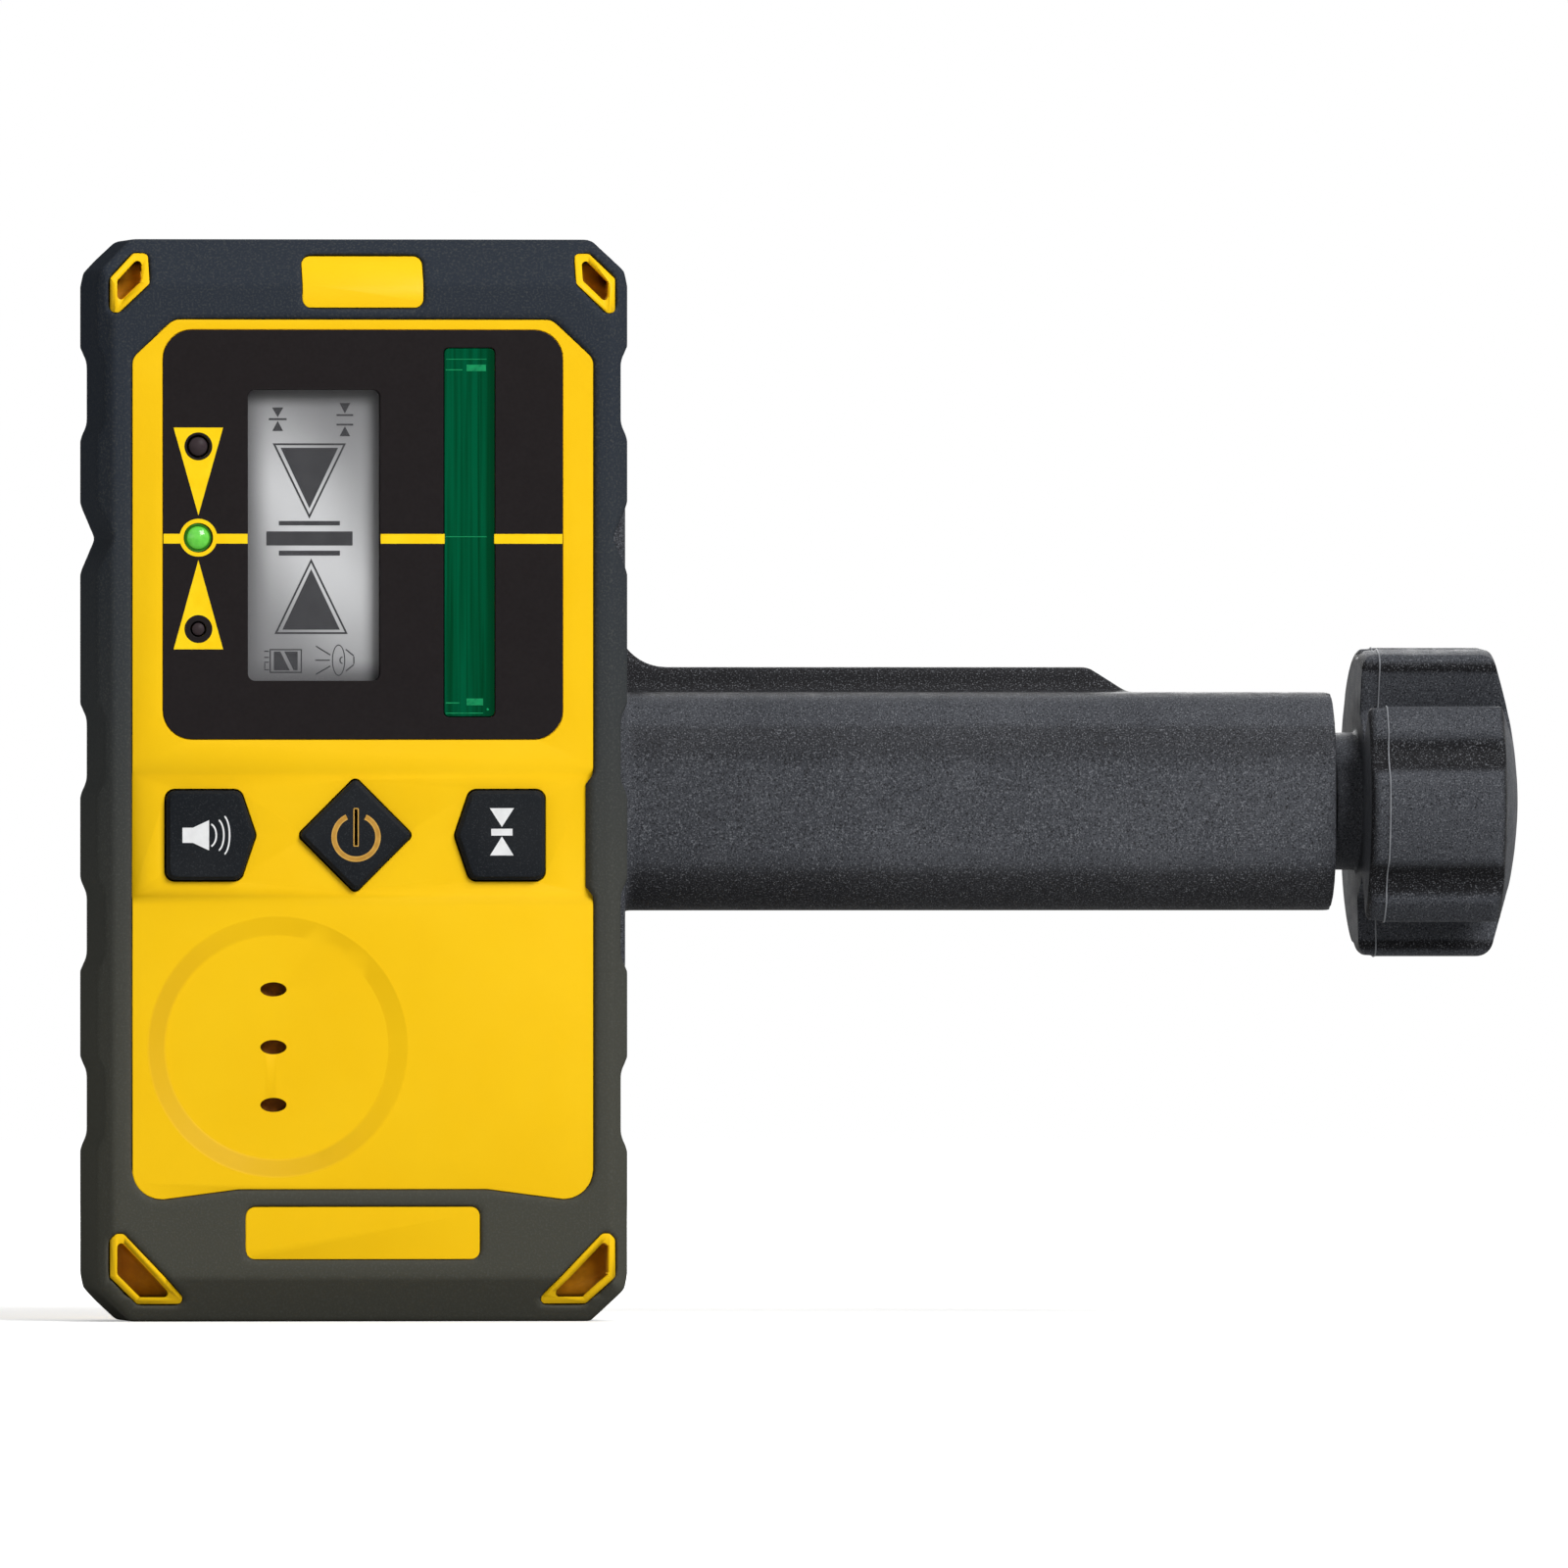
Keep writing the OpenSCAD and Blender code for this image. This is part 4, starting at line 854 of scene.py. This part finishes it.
def printed(name, loops, front, look, body="receiver", thick=INK, middle=None):
    """Flat closed outlines as a film of ink on a face that looks to -Y; an outline inside another
    is a hole. The outlines' zero is the receiver's middle on its on-grade line, or else middle."""
    curve = bpy.data.curves.new(name, "CURVE")
    curve.dimensions = "2D"
    curve.fill_mode = "BOTH"
    curve.extrude = thick * MM / 2
    for loop in loops:
        spline = curve.splines.new("POLY")
        spline.points.add(len(loop) - 1)
        for point, (x, z) in zip(spline.points, loop):
            point.co = (x * MM, z * MM, 0, 1)
        spline.use_cyclic_u = True
    work = bpy.data.objects.new(name, curve)
    bpy.context.scene.collection.objects.link(work)
    graph = bpy.context.evaluated_depsgraph_get()
    mesh = bpy.data.meshes.new_from_object(work.evaluated_get(graph))
    bpy.data.objects.remove(work)
    bm = bmesh.new()
    bm.from_mesh(mesh)
    bmesh.ops.remove_doubles(bm, verts=bm.verts, dist=1e-7)
    spot = Vector((mid_x, front - thick * MM * INK_OUT, 0)) if middle is None else middle
    bm.transform(Matrix.Translation(spot) @ Matrix.Rotation(math.radians(90), 4, "X"))
    bmesh.ops.recalc_face_normals(bm, faces=bm.faces)
    return place(name, as_mesh(bm, name, False), look, body)


def receiver(x):
    """A frame X as millimetres from the receiver's middle."""
    return (x - mid_x) / MM


def label_signs():
    """The film's yellow print: a wedge round each lamp, the on-grade line and its ring."""
    lamps = [(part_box("light_pipe_" + which)[0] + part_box("light_pipe_" + which)[1]) / 2
             for which in ("high", "grade", "low")]
    x = receiver(lamps[1].x)
    step = lamps[0].z / MM
    half, tip, lamp_r = 3.44, 3.1, 1.94
    ring, ring_inside, overlap = 2.62, 2.05, 0.15
    line_low, line_high = -0.81, 0.54
    edge = 0.05
    left = receiver(label_lo.x) + edge
    right = receiver(label_hi.x) - edge
    signs = []
    for side, flat in ((1, 15.25), (-1, 15.45)):
        signs += [wedge(x, half, side * flat, side * tip), circle(x, side * step, lamp_r)]
    lens = (receiver(lens_lo.x + LENS_LIP), receiver(lens_hi.x - LENS_LIP))
    window = (receiver(window_lo.x + LENS_LIP), receiver(window_hi.x - LENS_LIP))
    for x0, x1 in ((left, x - ring + overlap), (x + ring - overlap, lens[0] - edge),
                   (lens[1] + edge, window[0] - edge), (window[1] + edge, right)):
        signs.append(bar(x0, x1, line_low, line_high))
    printed("label_signs", signs, label_front, "ink_yellow")
    printed("label_lamp_ring", [circle(x, 0, ring), circle(x, 0, ring_inside)], label_front,
            "ink_yellow", thick=INK * OVER)


def lcd_segments():
    """The display's segments: two arrows and the on-grade bars between them, and the small signs."""
    x = receiver((lens_lo.x + lens_hi.x) / 2)
    down, up = x - 0.46, x - 0.22
    arrow = 5.1
    inner = 4.0
    line = 0.26
    signs = rim(wedge(down, arrow, 13.1, 2.65), line) + [wedge(down, inner, 12.48, 4.08)]
    signs += rim(wedge(up, arrow, -13.32, -2.85), line) + [wedge(up, inner, -12.72, -4.32)]
    signs += [bar(down - 4.25, down + 4.25, 1.73, 2.34), bar(down - 6, down + 6, -1.06, 0.9),
              bar(down - 4.25, down + 4.25, -2.45, -1.77)]
    fine = x - 4.87
    signs += [wedge(fine, 0.79, 18.07, 16.72), bar(fine - 1.24, fine + 1.24, 16.31, 16.58),
              wedge(fine, 0.75, 14.81, 16.2)]
    coarse = x + 4.47
    signs += [wedge(coarse, 0.76, 18.69, 17.26), bar(coarse - 1.16, coarse + 1.16, 16.89, 17.13),
              bar(coarse - 1.16, coarse + 1.16, 15.57, 15.81), wedge(coarse, 0.74, 14.09, 15.47)]
    # Battery sign
    b = x - 3.75
    thin = 0.17
    signs += rim(bar(b - 2.25, b + 2.25, -18.72, -15.4), thin)
    signs += [[(b - 1.65, -15.75), (b - 0.75, -15.75), (b + 0.55, -18.35), (b - 1.65, -18.35)],
              [(b - 0.2, -15.75), (b + 1.65, -15.75), (b + 1.65, -18.35), (b + 1.1, -18.35)]]
    signs += [bar(b - 3, b - 2.35, z, z + thin) for z in (-15.8, -16.65)]
    signs += [bar(b - 3, b - 2.35, -17.3, -17.16), bar(b - 3, b - 2.35, -18.35, -18.21),
              bar(b - 3, b - 2.86, -18.15, -17.36)]
    # Sound sign
    c = x + 3.6
    mouth = -16.95
    signs += [circle(c, mouth, 0.92, 40, 2.36), circle(c, mouth, 0.78, 40, 2.6)]
    signs += [sweep(c + 0.55, mouth, 0.36, 0.44, 90, 270, thin, 12)]
    signs += [stroke((c + 1.0, mouth + 1.5), (c + 2.1, mouth + 0.62), thin),
              stroke((c + 2.12, mouth + 0.52), (c + 2.12, mouth - 0.52), thin),
              stroke((c + 2.1, mouth - 0.62), (c + 1.0, mouth - 1.5), thin)]
    signs += [stroke((c - 3.15, mouth + 1.95), (c - 1.15, mouth + 0.72), thin),
              stroke((c - 3.25, mouth), (c - 1.2, mouth), thin),
              stroke((c - 3.15, mouth - 1.95), (c - 1.15, mouth - 0.8), thin)]
    printed("lcd_segments", signs, lcd_front, "segment")


def key_signs():
    """What each key does: sound, power and accuracy."""
    def middle(key):
        lo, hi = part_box(key)
        return Vector(((lo.x + hi.x) / 2, key_front - INK * MM * INK_OUT, (lo.z + hi.z) / 2))

    x = -1.0
    sound = [[(x - 3.0, 1.05), (x - 1.55, 1.05), (x + 0.7, 2.1), (x + 0.7, -2.1), (x - 1.55, -1.05),
              (x - 3.0, -1.05)]]
    for reach, tall in ((1.7, 1.6), (2.75, 2.2), (3.55, 2.75)):
        sound.append(sweep(x + reach - 1.0, 0, 1.0, tall, -72, 72, 0.24))
    printed("sound_sign", sound, 0, "ink_white", "volume_key", middle=middle("key_volume"))
    ring, drop = 3.06, -0.25
    gap = 25
    arc = (90 + gap, 450 - gap)
    foot, head = -1.5, 3.7
    power = [sweep(0, drop, ring, ring, *arc, 0.66, 48), bar(-0.33, 0.33, foot, head)]
    printed("power_sign", power, 0, "ink_gold", "power_key", middle=middle("key_power"))
    edge = 0.14
    lines = []
    for off in (-0.3, 0.3):
        lines.append(sweep(0, drop, ring + off, ring + off, *arc, edge, 48))
    for off in (-0.3, 0.3):
        lines.append(bar(off - edge / 2, off + edge / 2, foot, head))
    for end in (foot, head):
        lines.append(bar(-0.3, 0.3, end - edge / 2, end + edge / 2))
    printed("power_sign_edge", lines, 0, "ink_gold_edge", "power_key", thick=INK * OVER,
            middle=middle("key_power"))
    x = 0.15
    fine = [wedge(x, 1.68, 3.75, 1.15), bar(x - 1.48, x + 1.48, -0.05, 0.9),
            wedge(x, 1.64, -2.8, -0.16)]
    printed("accuracy_sign", fine, 0, "ink_white", "accuracy_key", middle=middle("key_accuracy"))


def filter_highlights():
    """Painted highlights: lighter marks for edges inside the green filter that catch the light."""
    left = receiver(window_lo.x + LENS_LIP)
    marks = [bar(left + 0.1, left + 2.4, 23.2, 23.35), bar(left + 3.0, left + 5.7, 23.1, 24.0),
             bar(left + 0.1, left + 5.8, 24.7, 24.8), bar(left + 0.1, left + 5.8, 0.1, 0.22),
             bar(left + 0.1, left + 2.0, -22.95, -22.78), bar(left + 3.0, left + 5.3, -23.2, -22.25),
             bar(left + 0.1, left + 5.3, -24.35, -24.22), circle(left + 5.95, -23.75, 0.16, 16)]
    printed("filter_highlights", marks, window_lo.y, "filter_light")


# A trapezoid thread's profile over one turn: where its flank starts and how steep it is
FLANK_START = 1.9
FLANK = 5


def thread_wave(pitch, depth, hand, start, end):
    """How far a trapezoid thread stands in from its crest, by place along the axis and angle."""
    def wave(x, a):
        if not start < x < end:
            return 0
        turn = (x / pitch - hand * a / (2 * math.pi)) % 1
        return -depth * max(0.0, min(1.0, FLANK_START - FLANK * abs(turn - 0.5)))
    return wave


def evenly(start, end, step, r):
    """Stations of one radius from start to end."""
    count = max(1, round((end - start) / step))
    return [(start + (end - start) * i / count, r) for i in range(count + 1)]


def lead_screw():
    """The clamp's screw: pilot, left-hand trapezoid thread, collar and the knob's journal."""
    start, end = screw_lo.x, screw_hi.x
    thread_x = start + 7.6 * MM
    collar_x = start + 95.4 * MM
    journal_x = collar_x + 2.6 * MM
    pilot_r, journal_r, thread_r, collar_r, bore_r = [r * MM for r in (3, 4, 5, 7.2, 1.25)]
    ease, collar_ease, run_out, step = [v * MM for v in (0.4, 0.3, 0.6, 0.25)]
    bore_depth = 8 * MM
    profile = [(start, pilot_r - ease), (start + ease, pilot_r), (thread_x, pilot_r),
               (thread_x, journal_r)]
    profile += evenly(thread_x + 1 * MM, collar_x - run_out, step, thread_r)
    profile += [(collar_x - run_out, journal_r), (collar_x, journal_r),
                (collar_x, collar_r - collar_ease), (collar_x + collar_ease, collar_r),
                (journal_x - collar_ease, collar_r), (journal_x, collar_r - collar_ease),
                (journal_x, journal_r), (end - ease, journal_r), (end, journal_r - ease),
                (end, bore_r), (end - bore_depth, bore_r)]
    wave = thread_wave(4 * MM, 0.95 * MM, -1, thread_x + 1.5 * MM, collar_x - 1 * MM)
    bm = turned_mesh(profile, 48, wave)
    bm.transform(Matrix.Translation((0, axis_y, axis_z)))
    bmesh.ops.recalc_face_normals(bm, faces=bm.faces)
    stand_in("lead_screw", baked(as_mesh(bm, "lead_screw"), SHARP))


def fixing_stud():
    """The thumbscrew's threaded stud, with its tip broken."""
    lo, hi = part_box("thumbscrew_stud")
    length = hi.y - lo.y
    tip_r, stud_r = 2.3 * MM, 3 * MM
    profile = [(0, tip_r), (0.6 * MM, stud_r)] + evenly(0.8 * MM, length, 0.1 * MM, stud_r)
    wave = thread_wave(1 * MM, 0.45 * MM, 1, 0.9 * MM, length - 0.5 * MM)
    bm = turned_mesh(profile, 32, wave)
    mid = (lo + hi) / 2
    to_y = Matrix.Rotation(math.radians(90), 4, "Z")
    bm.transform(Matrix.Translation((mid.x, lo.y, mid.z)) @ to_y)
    bmesh.ops.recalc_face_normals(bm, faces=bm.faces)
    stand_in("thumbscrew_stud", baked(as_mesh(bm, "thumbscrew_stud"), SHARP))


def contact_springs():
    """Two cone-shaped coils, one at each end of the battery bay."""
    lo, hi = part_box("contact_springs")
    mid_y = (lo.y + hi.y) / 2
    wide, narrow, length, gauge = [v * MM for v in (4.6, 2.3, 3.2, 0.35)]
    turns = 3.5
    steps = 120
    inset = 5 * MM
    whole = bmesh.new()
    for x, way, z in ((lo.x, 1, hi.z - inset), (hi.x, -1, lo.z + inset)):
        points = []
        for i in range(steps + 1):
            t = i / steps
            a = 2 * math.pi * turns * t
            r = wide + (narrow - wide) * t
            rise = gauge + (length - 2 * gauge) * t
            points.append(Vector((x + way * rise, mid_y + r * math.cos(a), z + r * math.sin(a))))
        coil = as_mesh(wire(points, gauge), "coil")
        whole.from_mesh(coil)
        bpy.data.meshes.remove(coil)
    stand_in("contact_springs", as_mesh(whole, "contact_springs"))


def wire(points, radius, sides=8, closed=False):
    """A round wire along points, with closed ends or as a closed ring."""
    bm = bmesh.new()
    rings = []
    up = Vector((1, 0, 0))
    last = len(points) - 1
    for i, point in enumerate(points):
        after = points[(i + 1) % len(points) if closed else min(i + 1, last)]
        before = points[i - 1 if closed else max(i - 1, 0)]
        ahead = (after - before).normalized()
        side = ahead.cross(up).normalized()
        rise = side.cross(ahead)
        ring = []
        for k in range(sides):
            a = 2 * math.pi * k / sides
            ring.append(bm.verts.new(point + (side * math.cos(a) + rise * math.sin(a)) * radius))
        rings.append(ring)
    for near, far in zip(rings, rings[1:] + rings[:1] if closed else rings[1:]):
        for k in range(sides):
            j = (k + 1) % sides
            bm.faces.new((near[k], near[j], far[j], far[k]))
    if not closed:
        bm.faces.new(rings[0])
        bm.faces.new(rings[-1][::-1])
    bmesh.ops.recalc_face_normals(bm, faces=bm.faces)
    return bm


softened("bumper", 0.5, 5)
softened("clamp_body", 0.55, 5)
softened("moving_jaw", 0.45, 4)
softened("knob", 0.3, 2, "knob_nylon")
knob_seam()
softened("key_volume", 0.2, 3)
softened("key_power", 0.2, 3)
softened("key_accuracy", 0.2, 3)
softened("thumbscrew", 0.35, 4)
broken("front_housing", 0.22, look="yellow_front")
broken("rear_housing", 0.3)
broken("battery_door", 0.3)
broken("display_label", 0.08)
broken("lcd_lens", 0.12)
broken("sensor_window", 0.12)
broken("knob_cap", 0.4, 3)
broken("arm_end_plate", 0.3)
broken("fixed_jaw_pad", 0.25)
broken("moving_jaw_pad", 0.25)
label_signs()
lcd_segments()
key_signs()
filter_highlights()
lead_screw()
fixing_stud()
contact_springs()


# Floor, light and world


# Where all the lamps point
AIM_SPOT = Vector((0.0, -0.03, -0.03))


def area(name, spot, size, power):
    """A lamp of that size in metres and that power in watts, aimed at the object."""
    data = bpy.data.lights.new(name, "AREA")
    data.shape = "RECTANGLE"
    data.size, data.size_y = size
    data.energy = power
    o = bpy.data.objects.new(name, data)
    bpy.context.scene.collection.objects.link(o)
    o.location = spot
    o.rotation_mode = "QUATERNION"
    o.rotation_quaternion = (AIM_SPOT - Vector(spot)).to_track_quat("-Z", "Y")


# The floor: half its side in metres, how much it glows by the object, and over which distance
# the glow rises to the background's white
FLOOR_HALF = 3
FLOOR_GLOW = 0.35
GLOW_NEAR = 0.15
GLOW_FAR = 0.7


def floor():
    """A plain pale floor under the receiver: white to the camera but for the object's shadow."""
    mesh = bpy.data.meshes.new("floor")
    z = bumper_lo.z
    corners = [(-1, -1), (1, -1), (1, 1), (-1, 1)]
    mesh.from_pydata([(x * FLOOR_HALF, y * FLOOR_HALF, z) for x, y in corners], [], [(0, 1, 2, 3)])
    o = bpy.data.objects.new("floor", mesh)
    bpy.context.scene.collection.objects.link(o)
    look = Look("pale_floor", rough=0.9, shine=0.0)
    path = look.node("ShaderNodeLightPath")
    pale = look.mix(look.noise(160, 2), "#F1F1F0", "#F4F4F3")
    look.color(look.mix(path.outputs["Is Camera Ray"], "#BABAB9", pale))
    away = look.node("ShaderNodeVectorMath", operation="DISTANCE")
    look.link(look.place, away.inputs[0])
    away.inputs[1].default_value = (0, axis_y, z)
    glow = look.node("ShaderNodeEmission")
    far = look.mapped(away.outputs["Value"], GLOW_NEAR, GLOW_FAR, FLOOR_GLOW, 1, True)
    look.link(look.product(far, path.outputs["Is Camera Ray"]), glow.inputs["Strength"])
    both = look.node("ShaderNodeAddShader")
    look.link(look.bsdf.outputs[0], both.inputs[0])
    look.link(glow.outputs[0], both.inputs[1])
    look.link(both.outputs[0], look.tree.nodes["Material Output"].inputs["Surface"])
    mesh.materials.append(look.m)


# The white surroundings: how strongly they light the object, and how bright they look
AMBIENT = 0.14
BACKDROP = 1.0


def world():
    """White all round: full to the camera and in reflections, dim as a light."""
    w = bpy.data.worlds.new("studio")
    bpy.context.scene.world = w
    w.use_nodes = True
    t = w.node_tree
    t.nodes.clear()
    out = t.nodes.new("ShaderNodeOutputWorld")
    mix = t.nodes.new("ShaderNodeMixShader")
    shades = []
    for strength in (AMBIENT, BACKDROP):
        shade = t.nodes.new("ShaderNodeBackground")
        shade.inputs["Color"].default_value = (1, 1, 1, 1)
        shade.inputs["Strength"].default_value = strength
        shades.append(shade)
    path = t.nodes.new("ShaderNodeLightPath")
    last = path.outputs["Is Camera Ray"]
    for ray in ("Is Glossy Ray", "Is Transmission Ray"):
        either = t.nodes.new("ShaderNodeMath")
        either.operation = "MAXIMUM"
        t.links.new(last, either.inputs[0])
        t.links.new(path.outputs[ray], either.inputs[1])
        last = either.outputs[0]
    t.links.new(last, mix.inputs[0])
    t.links.new(shades[0].outputs[0], mix.inputs[1])
    t.links.new(shades[1].outputs[0], mix.inputs[2])
    t.links.new(mix.outputs[0], out.inputs["Surface"])


world()
floor()
area("key", (0.7, -1.25, 0.9), (0.8, 0.8), 27.2)
area("fill", (-0.9, -0.9, 0.1), (0.8, 0.8), 1.2)
area("top", (0.1, 0.1, 1.2), (0.9, 0.5), 2.5)
area("back", (0.1, 1.35, 0.55), (0.8, 0.8), 12.5)
area("left", (-1.3, 0.7, 0.5), (0.8, 0.8), 3)
bpy.context.scene.view_settings.view_transform = "Standard"
